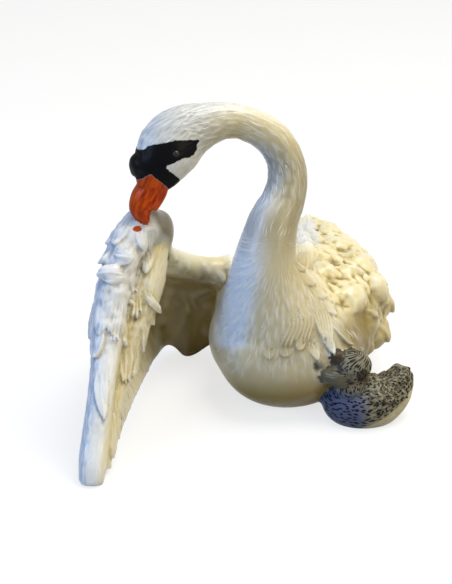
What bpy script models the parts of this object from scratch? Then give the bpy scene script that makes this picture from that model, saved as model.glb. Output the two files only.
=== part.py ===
"""A cast swan that bends its neck to preen a lowered wing, with a cygnet against its flank.

The figurine is one solid: the swan, its wings and the cygnet were cast together and painted.
X runs to the right, -Y points to the front and Z up. The origin is the middle of the flat patch
under the swan's belly. Sizes below are millimetres; the finished mesh is in metres.
"""

import math

import bmesh
import bpy
import numpy as np
from mathutils import Matrix, Vector
from mathutils.bvhtree import BVHTree

# One millimetre in metres
MM = 0.001

# Trunk
BODY_LENGTH = 104.0
BODY_WIDTH = 71.0
BODY_HEIGHT = 59.0
BELLY_SINK = 1.6

# Neck, head and bill
ARCH_OVER_WRIST = 36.0
NECK_RADIUS = 7.0
HEAD_RADIUS = 12.8
BILL_RADIUS = 6.2
KNOB_RADIUS = 6.0

# Open wing: the wrist, which the bill touches, and the tip, which rests on the ground
WRIST_OUT = 61.0
WRIST_FORWARD = 24.0
WRIST_HEIGHT = 80.0
TIP_OUT = 79.5
TIP_FORWARD = 82.5
WING_THICKNESS = 5.0
# shares of the thickness from the leading edge to the hem
WING_TAPER = (1.6, 1.3, 1.0, 0.7)

# Feathers
FEATHER_THICKNESS = 0.8
# how sharply the plumage bends over the flanks, as a share of a millimetre's turn
FLANK_CURVE = 0.06
COVERT_LIFT = 3.0
TAIL_REACH = 23.0

# Cygnet
CYGNET_RIGHT = 30.5
CYGNET_FORWARD = 33.0
CYGNET_HEIGHT = 25.0

# Fineness of the solid
SEAM_VOXEL = 1.0
SEAM_SOFTNESS = 4.0
SKIN_VOXEL = 0.8
SKIN_SOFTNESS = 1.13
FACES_KEPT = 11400

PAINTS = {
    "pearl_white": ((0.87, 0.85, 0.78), 0.34),
    "mask_black": ((0.012, 0.012, 0.016), 0.22),
    "bill_orange": ((0.80, 0.16, 0.03), 0.30),
    "cygnet_grey": ((0.30, 0.29, 0.27), 0.38),
}


def unit(vectors):
    """The vectors at length 1."""
    vectors = np.asarray(vectors, float)
    return vectors / np.maximum(np.linalg.norm(vectors, axis=-1, keepdims=True), 1e-9)


def smooth_path(rows, count):
    """A Catmull-Rom curve through the rows, with count points spaced evenly by row."""
    rows = np.asarray(rows, float)
    ends = np.vstack([2 * rows[0] - rows[1], rows, 2 * rows[-1] - rows[-2]])
    places = np.linspace(0, len(rows) - 1, count)
    first = np.minimum(places.astype(int), len(rows) - 2)
    t = (places - first)[:, None]
    p0, p1, p2, p3 = (ends[first + k] for k in range(4))
    return 0.5 * (2 * p1 + (p2 - p0) * t + (2 * p0 - 5 * p1 + 4 * p2 - p3) * t**2
                  + (3 * p1 - p0 - 3 * p2 + p3) * t**3)


def wander(seed):
    """A repeatable number from -1 to 1, so that no two feathers lie quite alike."""
    return 2 * math.modf(abs(math.sin(seed * 12.9898 + 4.1) * 43758.5453))[0] - 1


def trunk(x, y, z):
    """A place by the trunk, as shares of its width, length and height."""
    return np.array([x * BODY_WIDTH, y * BODY_LENGTH, z * BODY_HEIGHT])


def rim_of(rows, columns):
    """The places along the edge of a grid, in order round it."""
    return ([(r, 0) for r in range(rows)] + [(rows - 1, c) for c in range(1, columns)]
            + [(r, columns - 1) for r in range(rows - 2, -1, -1)]
            + [(0, c) for c in range(columns - 2, 0, -1)])


class Clay:
    """Overlapping closed forms, collected as points and painted faces before they are joined."""

    def __init__(self):
        self.points = []
        self.faces = []
        self.paints = []
        self.paint = "pearl_white"

    def add(self, points, faces):
        """Adds a closed form in the present paint."""
        start = len(self.points)
        self.points.extend(map(tuple, points))
        self.faces.extend(tuple(start + int(i) for i in face) for face in faces)
        self.paints.extend([self.paint] * len(faces))

    def limb(self, stations, toward, rings=40, sides=28):
        """A tapering form along stations of x, y, z, radius toward a direction, radius across it."""
        path = smooth_path(stations, rings)
        centre, radii = path[:, :3], np.maximum(path[:, 3:], 0.2)
        along = unit(np.gradient(centre, axis=0))
        toward = np.broadcast_to(np.asarray(toward, float), centre.shape)
        side = unit(toward - along * (toward * along).sum(1, keepdims=True))
        across = np.cross(along, side)
        turn = np.linspace(0, 2 * math.pi, sides, endpoint=False)
        points = (centre[:, None]
                  + side[:, None] * radii[:, None, :1] * np.cos(turn)[None, :, None]
                  + across[:, None] * radii[:, None, 1:] * np.sin(turn)[None, :, None])
        faces = [(r * sides + s, r * sides + (s + 1) % sides,
                  (r + 1) * sides + (s + 1) % sides, (r + 1) * sides + s)
                 for r in range(rings - 1) for s in range(sides)]
        faces.append(tuple(range(sides - 1, -1, -1)))
        faces.append(tuple((rings - 1) * sides + s for s in range(sides)))
        self.add(points.reshape(-1, 3), faces)

    def ball(self, centre, radii):
        """An ellipsoid along the axes."""
        x, y, z = centre
        rx, ry, rz = radii
        turns = [math.radians(a) for a in range(-85, 90, 10)]
        self.limb([(x, y, z + rz * math.sin(a), rx * math.cos(a), ry * math.cos(a)) for a in turns],
                  (1, 0, 0), 18)

    def slab(self, top, low):
        """The solid between two grids of points."""
        rows, columns = top.shape[:2]
        a, b = np.arange(2 * rows * columns).reshape(2, rows, columns)
        faces = []
        for r in range(rows - 1):
            for c in range(columns - 1):
                faces.append((a[r, c], a[r, c + 1], a[r + 1, c + 1], a[r + 1, c]))
                faces.append((b[r, c], b[r + 1, c], b[r + 1, c + 1], b[r, c + 1]))
        rim = rim_of(rows, columns)
        for p, q in zip(rim, rim[1:] + rim[:1]):
            faces.append((a[p], a[q], b[q], b[p]))
        self.add(np.concatenate([top.reshape(-1, 3), low.reshape(-1, 3)]), faces)

    def sheet(self, ribs, thickness, columns=60, rows=18):
        """A curved panel through ribs, each of four points from the leading to the trailing edge."""
        ribs = np.asarray(ribs, float)
        chords = np.stack([smooth_path(ribs[:, k], columns) for k in range(4)], axis=1)
        middle = np.stack([smooth_path(c, rows) for c in chords])
        normal = unit(np.cross(np.gradient(middle, axis=0), np.gradient(middle, axis=1)))
        half = np.interp(np.linspace(0, 3, rows), range(4), thickness)[None, :, None] / 2
        self.slab(middle - normal * half, middle + normal * half)

    def feather(self, spine, up, width, thick, point, sink, curl=0.0, bend=0.0, steps=5):
        """A domed vane with a shaft along a spine: how pointed, how curled up at its sides, and
        how far bent over what is under it."""
        spine, up = np.asarray(spine, float), unit(up)
        side = unit(np.cross(np.gradient(spine, axis=0), up))
        t = np.linspace(0, 1, len(spine))
        blunt = np.interp(t, (0, 0.25, 0.6, 0.85, 1), (0.5, 0.85, 1, 0.8, 0.3))
        sharp = np.interp(t, (0, 0.25, 0.6, 0.85, 1), (0.5, 0.9, 0.95, 0.5, 0.06))
        half = (blunt * (1 - point) + sharp * point) * width / 2
        s = np.linspace(-1, 1, steps)
        dome = thick * (1 + (curl - 0.5) * s**2 + 0.25 * np.maximum(1 - abs(s) * 3, 0))
        dome = dome[None] - bend * (half[:, None] * s[None])**2 / 2
        across = side[:, None] * half[:, None, None] * s[None, :, None]
        self.slab(spine[:, None] + across + up[:, None] * dome[:, :, None],
                  spine[:, None] + across * 0.9 - up[:, None] * sink)

    def form(self, name, voxel, softness):
        """The forms joined into one skin of the voxel's fineness, softened over a distance."""
        loose = bpy.data.meshes.new(name)
        loose.from_pydata([Vector(p) for p in self.points], [], self.faces)
        shape = bpy.data.objects.new(name, loose)
        bpy.context.scene.collection.objects.link(shape)
        join = shape.modifiers.new("join", "REMESH")
        join.mode = "VOXEL"
        join.voxel_size = voxel
        soften = shape.modifiers.new("soften", "SMOOTH")
        soften.factor = 0.5
        soften.iterations = round((softness / voxel) ** 2)
        settle(shape)
        return shape

    def blend(self, voxel, softness):
        """Softens the seams between the forms so far."""
        near, paints = self.skin(), self.paints
        shape = self.form("blend", voxel, softness)
        self.points = [tuple(v.co) for v in shape.data.vertices]
        self.faces = [tuple(face.vertices) for face in shape.data.polygons]
        self.paints = [paints[near.find_nearest(face.center)[2]] for face in shape.data.polygons]
        bpy.data.objects.remove(shape)

    def skin(self):
        """The forms so far as a tree that finds the nearest point on them."""
        return BVHTree.FromPolygons([Vector(p) for p in self.points], self.faces)


def settle(shape):
    """Puts what the modifiers make in place of the object's mesh."""
    bpy.context.view_layer.update()
    made = shape.evaluated_get(bpy.context.evaluated_depsgraph_get())
    mesh = bpy.data.meshes.new_from_object(made)
    old = shape.data
    shape.modifiers.clear()
    shape.data = mesh
    bpy.data.meshes.remove(old)


def lay(clay, skin, root, heading, length, width, lift, point=0.6, rows=8):
    """Lays a feather on the skin from its root along a heading; its tip stands off by the lift."""
    place, up, _, _ = skin.find_nearest(Vector(root))
    heading = Vector(heading)
    spine, ups = [], []
    for k in range(rows):
        heading = (heading - up * heading.dot(up)).normalized()
        rise = lift * (k / (rows - 1)) ** 1.3 - 0.5
        spine.append(tuple(place + up * rise))
        ups.append(tuple(up))
        place, up, _, _ = skin.find_nearest(place + heading * length / (rows - 1))
    clay.feather(spine, ups, width, FEATHER_THICKNESS, point, 2.2 + lift, 0.0, FLANK_CURVE)


def fan(clay, skin, source, arc, count, length, width, lift, point=0.6, stray=0.15):
    """Feathers that spread from a source, with their tips along an arc on the skin."""
    for k, tip in enumerate(smooth_path(arc, count)):
        seed = k + length + width * 0.7 + len(arc) * 3.3
        heading = (Vector(tip) - Vector(source)).normalized()
        heading += Vector([stray * wander(seed + 0.3 * n) for n in range(3)])
        span = length * (1 + 0.25 * wander(seed + 2))
        lay(clay, skin, Vector(tip) - heading * span, heading, span,
            width * (1 + 0.2 * wander(seed + 3)), lift * (1 + 0.3 * wander(seed + 4)), point)


def trail(clay, skin, route, width, lift, point=0.8, curl=0.0, sunk=0.7, rows=10):
    """Lays a feather on the skin along a route; its root is sunk and its tip stands off."""
    spine, ups = [], []
    for share, place in zip(np.linspace(0, 1, rows), smooth_path(route, rows)):
        place, up, _, _ = skin.find_nearest(Vector(place))
        spine.append(tuple(place + up * ((lift + sunk) * share**1.2 - sunk - 0.5)))
        ups.append(tuple(up))
    clay.feather(spine, ups, width, FEATHER_THICKNESS, point, 2.2 + lift, curl, FLANK_CURVE)


def comb(clay, skin, first, last, count, width, lift, point=0.9):
    """Strands side by side on the skin, from a first route to a last one."""
    first, last = np.array(first, float), np.array(last, float)
    for k in range(count):
        route = first + (last - first) * k / (count - 1)
        route[-1] += (route[-1] - route[-2]) * 0.2 * wander(k + first[0][0])
        trail(clay, skin, route, width * (1 + 0.15 * wander(k + 0.4)), lift, point)


def body(clay):
    """The swan's trunk, from the full breast to the raised tail."""
    profile = [
        # shares of the length, width and height: place, then half width and half height
        (-0.41, -0.08, 0.39, 0.03, 0.03),
        (-0.38, -0.08, 0.39, 0.22, 0.21),
        (-0.31, -0.08, 0.40, 0.355, 0.36),
        (-0.19, -0.055, 0.42, 0.44, 0.45),
        (-0.01, -0.005, 0.44, 0.485, 0.49),
        (0.19, 0.03, 0.47, 0.485, 0.48),
        (0.35, 0.08, 0.52, 0.38, 0.37),
        (0.49, 0.11, 0.57, 0.23, 0.21),
        (0.59, 0.125, 0.60, 0.12, 0.09),
    ]
    clay.limb([tuple(trunk(x, y, z) - (0, 0, BELLY_SINK)) + (BODY_WIDTH * wide, BODY_HEIGHT * high)
               for y, x, z, wide, high in profile], (1, 0, 0), 48, 36)


def wrist():
    """The top of the open wing, where its edge turns from the arm to the hand."""
    return np.array([-WRIST_OUT, -WRIST_FORWARD, WRIST_HEIGHT])


def wing_tip():
    """Where the open wing's tip meets the ground."""
    return np.array([-TIP_OUT, -TIP_FORWARD, 0.0])


def bill_tip():
    """Where the bill's tip bites the feathers, over the open wing's wrist."""
    return wrist() + (2.5, -8.5, 4.0)


def neck_and_head(clay):
    """The neck rises from the breast, arches over and brings the head down to the wing."""
    top = WRIST_HEIGHT + ARCH_OVER_WRIST
    n, h = NECK_RADIUS, HEAD_RADIUS
    # the foot of the neck swells into the breast
    foot = [tuple(trunk(x, y, z)) + (BODY_WIDTH * deep, BODY_WIDTH * wide)
            for x, y, z, deep, wide in ((-0.06, -0.09, 0.19, 0.26, 0.28),
                                        (-0.07, -0.12, 0.35, 0.36, 0.395),
                                        (-0.10, -0.145, 0.51, 0.38, 0.42),
                                        (-0.13, -0.17, 0.68, 0.325, 0.36))]
    rise = [(x, y, top * share, n * deep, n * wide) for x, y, share, deep, wide in (
        (-12.0, -20.0, 0.435, 2.46, 2.71),
        (-13.6, -21.5, 0.530, 1.77, 1.94),
        (-12.4, -20.0, 0.608, 1.51, 1.63),
        (-10.2, -17.0, 0.681, 1.31, 1.43),
        (-6.4, -13.0, 0.746, 1.12, 1.24),
        (-4.8, -10.0, 0.810, 1.02, 1.14),
        (-6.2, -8.0, 0.882, 0.95, 1.05),
        (-11.6, -8.0, 0.954, 0.92, 1.02),
        (-20.0, -9.0, 1.000, 0.90, 0.96))]
    drop = [tuple(bill_tip() + (x, y, z)) + (deep, wide) for x, y, z, deep, wide in (
        (30.6, 22.0, 34.2, n * 0.93, n * 1.00),
        (22.0, 18.6, 33.7, h * 0.56, h * 0.68),
        (14.0, 14.6, 31.4, h * 0.65, h * 0.91),
        (8.2, 10.8, 27.2, h * 0.70, h * 0.97),
        (4.6, 7.4, 21.4, h * 0.62, h * 0.82),
        (2.3, 5.0, 15.5, h * 0.45, h * 0.59),
        (1.8, 4.2, 12.8, h * 0.31, h * 0.42))]
    clay.limb(foot + rise + drop, (0, 1, 0), 90, 32)


def bill(clay):
    """The bill, broad at its base and turned down to a nail at its tip."""
    b = BILL_RADIUS
    clay.paint = "bill_orange"
    clay.limb([tuple(bill_tip() + (x, y, z)) + (b * deep, b * wide) for x, y, z, deep, wide in (
        (2.6, 5.2, 17.0, 0.76, 0.92),
        (1.4, 4.4, 13.0, 0.74, 0.98),
        (-0.9, 3.4, 9.2, 0.71, 0.98),
        (-2.2, 2.4, 5.8, 0.68, 0.89),
        (-1.3, 1.2, 2.9, 0.56, 0.60),
        (0.0, 0.2, 0.2, 0.37, 0.36),
        (0.2, -0.2, -2.0, 0.16, 0.16))], (0, 1, 0), 30, 20)
    clay.paint = "pearl_white"


def mask(clay, skin):
    """The black knob over the bill, and the black of the face round the bill and to the eye."""
    clay.paint = "mask_black"
    r = KNOB_RADIUS
    clay.ball(bill_tip() + (-0.6, 4.4, 21.6), (r * 1.08, r * 0.9, r * 1.1))
    for route, width in (([(-1, 2, 27), (6, 0.5, 28), (12, 2, 28.5), (18, 7, 30)], 7.0),
                         ([(2, -1, 24), (6, -0.5, 20.5), (10, 2.5, 16.5)], 6.5),
                         ([(0, 0, 24), (4, -1, 24), (9, -1, 26)], 8.0),
                         ([(-3, 1, 20), (2, -1, 17.5), (7, 1, 15.5)], 6.0)):
        trail(clay, skin, [bill_tip() + place for place in route], width, 0.2, 0.1, sunk=0.0)
    clay.paint = "pearl_white"


def wing_edge():
    """The open wing's leading edge: x, y, z, radius in depth and radius across at each station."""
    return [
        tuple(trunk(-0.17, 0.135, 0.64)) + (10.0, 10.0),
        tuple(trunk(-0.39, 0.135, 0.70)) + (7.0, 7.0),
        tuple(trunk(-0.59, 0.105, 0.755)) + (6.0, 6.0),
        tuple(wrist() + (4.5, 25.0, -25.0)) + (6.5, 6.5),
        tuple(wrist() + (3.0, 10.0, -11.0)) + (8.0, 7.6),
        tuple(wrist() + (0.0, 0.0, 0.0)) + (8.0, 8.0),
        tuple(wrist() + (-6.6, -9.0, -6.0)) + (6.6, 7.0),
        tuple(wrist() + (-11.6, -19.0, -21.0)) + (6.0, 6.6),
        tuple(wrist() + (-13.6, -29.0, -38.0)) + (5.2, 5.8),
        tuple(wing_tip() + (3.2, 18.0, 28.0)) + (4.5, 5.2),
        tuple(wing_tip() + (1.4, 10.0, 15.0)) + (4.4, 5.5),
        tuple(wing_tip() + (0.3, 3.2, 5.5)) + (4.2, 5.5),
        tuple(wing_tip() + (0.2, 0.0, -0.6)) + (3.4, 4.8),
    ]


def wing_ribs():
    """Chords of the open wing, each of four points from the leading edge down to the hem."""
    edge = wing_edge()
    tops = [np.array(edge[k][:3]) for k in (0, 1, 2, 3, 5, 7, 8, 9, 11)]
    root = [trunk(-0.31, 0.17, 0.22), trunk(-0.48, 0.16, 0.09), trunk(-0.65, 0.125, -0.01)]
    under = wrist() * (1, 1, 0)
    tip = wing_tip()
    hem = root + [under + (7, 39, 5), under + (0, 28, 3), tip + (14, 68.5, 2), tip + (10, 46.5, 2),
                  tip + (6.5, 24.5, 2), tip + (4, 7, 1)]
    swell = [(0, 2, 0), (0, 6, 0), (-3, 9, 0), (-9, 7, 0), (-11, 2, 0), (-7.5, 0, 0),
             (-1.5, 0, 0), (1, 0, 0), (0.5, 0, 0)]
    ribs = []
    for high, low, out in zip(tops, hem, np.array(swell, float)):
        ribs.append([high, high + (low - high) * 0.33 + out, high + (low - high) * 0.67 + out * 0.8,
                     low])
    return ribs


def open_wing(clay):
    """The lowered wing: an arm out from the back, the raised wrist, and a hand down to its tip."""
    clay.limb(wing_edge(), (0, 1, 0), 90, 24)
    clay.sheet(wing_ribs(), WING_THICKNESS * np.array(WING_TAPER))
    # the flesh of the wing behind its edge
    clay.limb([
        tuple(wrist() + (4, 4, -8)) + (6.5, 5.5),
        tuple(wrist() + (1, -5, -20)) + (8.5, 7.5),
        tuple(wrist() + (-4, -13, -33)) + (8.0, 7.5),
        tuple(wrist() + (-8, -23, -46)) + (6.5, 6.0),
        tuple(wing_tip() + (7, 25, 22)) + (4.8, 4.6),
        tuple(wing_tip() + (4, 11, 9)) + (3.0, 3.2),
    ], (0, 1, 0), 40, 20)
    # the rounded thumb behind the bill
    clay.limb([
        tuple(wrist() + (2, 4, 0)) + (5.0, 7.0),
        tuple(wrist() + (6.0, 5, -3)) + (5.5, 8.5),
        tuple(wrist() + (6.0, 8, -9)) + (5.0, 8.0),
        tuple(wrist() + (4.5, 12, -16)) + (4.0, 6.0),
    ], (1, 0, 0), 16, 20)


def folded_wing(clay):
    """The other wing, half folded along the flank, full and lumpy."""
    clay.limb([tuple(trunk(x, y, z)) + (BODY_WIDTH * wide, BODY_HEIGHT * high)
               for x, y, z, wide, high in ((0.17, -0.145, 0.59, 0.085, 0.135),
                                           (0.275, -0.06, 0.56, 0.16, 0.27),
                                           (0.345, 0.03, 0.48, 0.19, 0.36),
                                           (0.37, 0.145, 0.45, 0.20, 0.37),
                                           (0.345, 0.28, 0.50, 0.175, 0.31),
                                           (0.29, 0.405, 0.57, 0.14, 0.22),
                                           (0.22, 0.52, 0.64, 0.11, 0.13),
                                           (0.17, 0.60, 0.69, 0.06, 0.07))], (1, 0, 0), 50, 28)
    for x, y, z, size in ((0.27, -0.10, 0.66, 10.0), (0.15, -0.03, 0.80, 7.0), (0.29, 0.00, 0.74, 7.5),
                          (0.37, 0.13, 0.72, 8.0), (0.45, 0.03, 0.66, 7.0), (0.49, 0.06, 0.50, 7.0),
                          (0.45, -0.02, 0.36, 8.0), (0.27, 0.27, 0.71, 7.5), (0.38, -0.10, 0.50, 8.0)):
        clay.ball(trunk(x, y, z), (size, size, size))


def cygnet_place(x, y, z):
    """A place by the cygnet, as shares of its height from the middle of its stance."""
    return np.array([CYGNET_RIGHT, -CYGNET_FORWARD, 0.0]) + np.array([x, y, z]) * CYGNET_HEIGHT


def cygnet(clay):
    """The cygnet: a plump body with a raised tail, and its head turned to the swan's flank."""
    clay.paint = "cygnet_grey"
    c = CYGNET_HEIGHT
    clay.limb([tuple(cygnet_place(x, y, z)) + (c * deep, c * wide) for x, y, z, deep, wide in (
        (-0.74, 0.06, 0.30, 0.15, 0.15),
        (-0.54, -0.10, 0.28, 0.33, 0.34),
        (-0.22, -0.16, 0.26, 0.40, 0.42),
        (0.08, -0.12, 0.33, 0.39, 0.45),
        (0.29, -0.04, 0.42, 0.31, 0.37),
        (0.43, 0.05, 0.58, 0.21, 0.28),
        (0.53, 0.12, 0.78, 0.12, 0.16))], (0, 1, 0), 30, 24)
    # the neck, pressed to the flank, and the head
    clay.limb([tuple(cygnet_place(x, y, z)) + (c * deep, c * wide) for x, y, z, deep, wide in (
        (-0.24, -0.14, 0.30, 0.34, 0.36),
        (-0.38, -0.16, 0.58, 0.25, 0.27),
        (-0.40, -0.15, 0.86, 0.20, 0.22))], (0, 1, 0), 14, 20)
    clay.ball(cygnet_place(-0.33, -0.16, 1.00), (c * 0.29, c * 0.26, c * 0.26))
    clay.limb([tuple(cygnet_place(x, y, z)) + (c * deep, c * wide) for x, y, z, deep, wide in (
        (-0.34, -0.20, 0.94, 0.20, 0.22),
        (-0.58, -0.26, 0.86, 0.16, 0.18),
        (-0.78, -0.24, 0.86, 0.12, 0.13),
        (-0.93, -0.18, 0.92, 0.06, 0.06))], (0, 1, 0), 16, 18)
    clay.ball(cygnet_place(-0.62, -0.16, 1.14), (c * 0.11, c * 0.10, c * 0.13))
    clay.paint = "pearl_white"


def breast_feathers(clay, skin):
    """Strands combed down from the neck, which end in points and crescents over the flank."""
    combs = [
        # the places of the first strand and of the last, then count, width, lift and sharpness
        ([(-0.08, -0.33, 0.86), (-0.06, -0.36, 0.74), (-0.10, -0.38, 0.62)],
         [(0.02, -0.29, 0.90), (0.07, -0.33, 0.76), (0.04, -0.37, 0.60)], 7, 1.9, 0.8, 0.7),
        ([(0.03, -0.28, 0.92), (0.08, -0.32, 0.77), (0.12, -0.35, 0.63)],
         [(0.12, -0.24, 0.86), (0.17, -0.29, 0.72), (0.18, -0.35, 0.55)], 6, 1.9, 0.9, 0.9),
    ]
    for first, last, count, width, lift, point in combs:
        comb(clay, skin, [trunk(*p) for p in first], [trunk(*p) for p in last], count, width, lift,
             point)
    fan(clay, skin, trunk(-0.04, -0.24, 1.25),
        [trunk(*p) for p in ((0.02, -0.21, 1.00), (0.09, -0.23, 0.90), (0.18, -0.25, 0.79),
                             (0.25, -0.29, 0.66), (0.28, -0.31, 0.56))], 6, 8.0, 5.0, 1.1, 0.5)
    leaves = [
        # root, middle and tip, then width, lift and sharpness
        ([(0.17, -0.28, 0.74), (0.23, -0.30, 0.64), (0.29, -0.31, 0.52)], 4.4, 1.8, 0.8),
        ([(0.12, -0.33, 0.68), (0.16, -0.34, 0.60), (0.20, -0.36, 0.51)], 4.0, 1.4, 0.7),
        ([(0.05, -0.36, 0.64), (0.08, -0.37, 0.57), (0.10, -0.38, 0.49)], 4.4, 0.8, 0.5),
        ([(0.03, -0.35, 0.70), (0.01, -0.37, 0.63), (-0.01, -0.38, 0.57)], 4.6, 0.9, 0.1),
        ([(-0.06, -0.37, 0.65), (-0.08, -0.38, 0.59), (-0.07, -0.39, 0.53)], 5.8, 0.4, 0.0),
        ([(-0.15, -0.37, 0.63), (-0.17, -0.38, 0.57), (-0.17, -0.39, 0.51)], 4.6, 0.4, 0.1),
    ]
    for route, width, lift, point in leaves:
        trail(clay, skin, [trunk(*p) for p in route], width, lift, point, 0.8)


def flank_feathers(clay, skin):
    """The folded wing's plumage: broad lapped lobes, loose ruffles, and rows toward its end."""
    lobes = [
        # root, middle and tip, then width, lift and sharpness
        ([(0.22, -0.07, 0.84), (0.28, -0.13, 0.75), (0.31, -0.18, 0.65)], 16.0, 0.7, 0.0),
        ([(0.36, -0.05, 0.77), (0.41, -0.09, 0.66), (0.43, -0.12, 0.55)], 9.0, 1.5, 0.2),
        ([(0.41, 0.03, 0.78), (0.48, 0.01, 0.70), (0.52, 0.00, 0.60)], 8.0, 1.8, 0.3),
        ([(0.37, -0.14, 0.53), (0.42, -0.15, 0.43), (0.44, -0.14, 0.32)], 9.0, 1.0, 0.1),
        ([(0.48, -0.02, 0.52), (0.52, -0.03, 0.43), (0.53, -0.04, 0.32)], 8.5, 1.4, 0.1),
        ([(0.50, 0.09, 0.64), (0.55, 0.07, 0.55), (0.57, 0.06, 0.46)], 7.0, 2.0, 0.3),
        ([(0.44, 0.14, 0.79), (0.52, 0.12, 0.71), (0.56, 0.10, 0.62)], 8.0, 1.8, 0.2),
        ([(0.24, 0.05, 0.88), (0.32, 0.03, 0.84), (0.39, 0.01, 0.79)], 9.0, 1.3, 0.2),
        ([(0.15, -0.11, 0.88), (0.20, -0.13, 0.84), (0.24, -0.16, 0.78)], 8.0, 0.9, 0.3),
        ([(0.22, 0.19, 0.87), (0.30, 0.17, 0.85), (0.37, 0.13, 0.82)], 9.0, 1.5, 0.2),
        ([(0.14, 0.00, 0.90), (0.20, -0.03, 0.88), (0.26, -0.06, 0.84)], 7.0, 0.9, 0.4),
        ([(0.18, 0.28, 0.86), (0.27, 0.27, 0.83), (0.34, 0.25, 0.79)], 9.0, 1.5, 0.3),
        ([(0.42, 0.08, 0.38), (0.47, 0.06, 0.28), (0.46, 0.04, 0.18)], 8.0, 1.2, 0.2),
    ]
    for route, width, lift, point in lobes:
        trail(clay, skin, [trunk(*p) for p in route], width, lift, point)
    # small ruffles, scattered over the top and the outer side
    for k in range(34):
        turn = math.radians(9 + 2.55 * k)
        root = trunk(0.15 + 0.40 * math.sin(turn), -0.11 + 0.22 * abs(wander(k + 0.2)),
                     0.52 + 0.36 * math.cos(turn))
        heading = (math.cos(turn), -0.9 + 0.8 * wander(k + 0.6), -math.sin(turn))
        lay(clay, skin, root, heading, 5.5 + 2.0 * wander(k), 4.4 + 1.4 * wander(k + 0.8),
            COVERT_LIFT * 0.28, 0.4)
    # how far along the trunk each row's arc is at its top and at its foot, count and length
    for top, foot, count, length in ((0.34, 0.21, 7, 12.0), (0.43, 0.33, 6, 13.0),
                                     (0.51, 0.44, 5, 14.0)):
        narrow = 1.13 - 0.9 * top
        arc = [trunk(x * narrow, top + (foot - top) * share, z)
               for share, x, z in ((0.0, 0.20, 0.86), (0.3, 0.34, 0.82), (0.6, 0.50, 0.70),
                                   (0.8, 0.58, 0.54), (0.9, 0.57, 0.34), (1.0, 0.49, 0.15))]
        fan(clay, skin, trunk(0.06, -0.115, 1.22), arc, count, length, 9.5, COVERT_LIFT * 0.6,
            0.3, 0.3)


def back_feathers(clay, skin):
    """The feathers of the back and of the flank under the open wing, in even rows."""
    for row in range(6):
        along = 0.08 + 0.085 * row
        arc = [trunk(-0.28, along, 0.81), trunk(-0.11, along + 0.02, 0.92), trunk(0.08, along, 0.92)]
        fan(clay, skin, trunk(0, -0.4, 0.85), arc, 4, 12.0, 10.0, 1.2, 0.3)
    for row in range(4):
        along = 0.13 + 0.115 * row
        arc = [trunk(-0.34, along, 0.75), trunk(-0.48, along, 0.5),
               trunk(-0.42, along, 0.13 + 0.07 * row)]
        fan(clay, skin, trunk(-0.42, -0.4, 0.5), arc, 4, 13.0, 10.0, 1.0, 0.4)


def tail_feathers(clay):
    """Long feathers side by side over the tail."""
    for k in range(-3, 4):
        root = trunk(0.125, 0.42, 0.68) + (1.8 * k, 0, -0.5 * abs(k))
        tip = root + (2.4 * k, TAIL_REACH - 1.3 * abs(k), 5.0 - 0.4 * abs(k))
        spine = [root + (tip - root) * t + (0, 0, 1.6 * math.sin(math.pi * t))
                 for t in np.linspace(0, 1, 8)]
        clay.feather(spine, [(0.06 * k, -0.3, 1.0)] * 8, 8.0, 1.2, 0.4, 2.6)


def wing_point(ribs, span, chord):
    """A point of the open wing's panel: 0 to 1 along the span and from the edge to the hem."""
    place = int(round(min(max(span, 0), 1) * 200))
    line = smooth_path([smooth_path([rib[k] for rib in ribs], 201)[place] for k in range(4)], 101)
    if chord <= 1:
        return line[int(round(chord * 100))]
    return line[-1] + (line[-1] - line[-6]) * (chord - 1) * 20


def wing_feathers(clay):
    """Rows of long feathers on both faces of the open wing, which sweep toward its tip."""
    ribs = wing_ribs()
    rows = [
        # face, first and last span, count, chord at root and tip, sweep, width, height over the panel
        (1, 0.16, 0.96, 14, 0.35, 0.93, 0.07, 9.0, 0.0),
        (1, 0.50, 0.90, 8, 0.18, 0.66, 0.07, 8.0, 0.4),
        (-1, 0.10, 0.96, 15, 0.30, 0.95, 0.07, 9.0, 0.1),
        (-1, 0.22, 0.84, 10, 0.10, 0.62, 0.07, 9.0, 0.6),
        (-1, 0.30, 0.78, 8, 0.02, 0.34, 0.06, 8.0, 1.0),
    ]
    for row, (face, first, last, count, start, end, sweep, width, above) in enumerate(rows):
        for k in range(count):
            seed = 7.1 * row + k
            span = first + (last - first) * (k + 0.3 * wander(seed)) / (count - 1)
            reach = end + (0.06 if end < 0.9 else 0.012) * wander(seed + 0.5)
            spine, ups = [], []
            for t in np.linspace(0, 1, 9):
                u, v = span + sweep * t, start + (reach - start) * t
                along = wing_point(ribs, u + 0.01, v) - wing_point(ribs, u - 0.01, v)
                down = wing_point(ribs, u, v + 0.02) - wing_point(ribs, u, v - 0.02)
                up = unit(np.cross(along, down)) * face
                stand = WING_THICKNESS * np.interp(3 * v, range(4), WING_TAPER) / 2 + above
                spine.append(wing_point(ribs, u, v) + up * (stand - 0.8 + 1.2 * t * (end < 0.9)))
                ups.append(up)
            clay.feather(spine, ups, width * (1 + 0.15 * wander(seed + 0.7)), 1.0, 0.5, above + 2.0)


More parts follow.
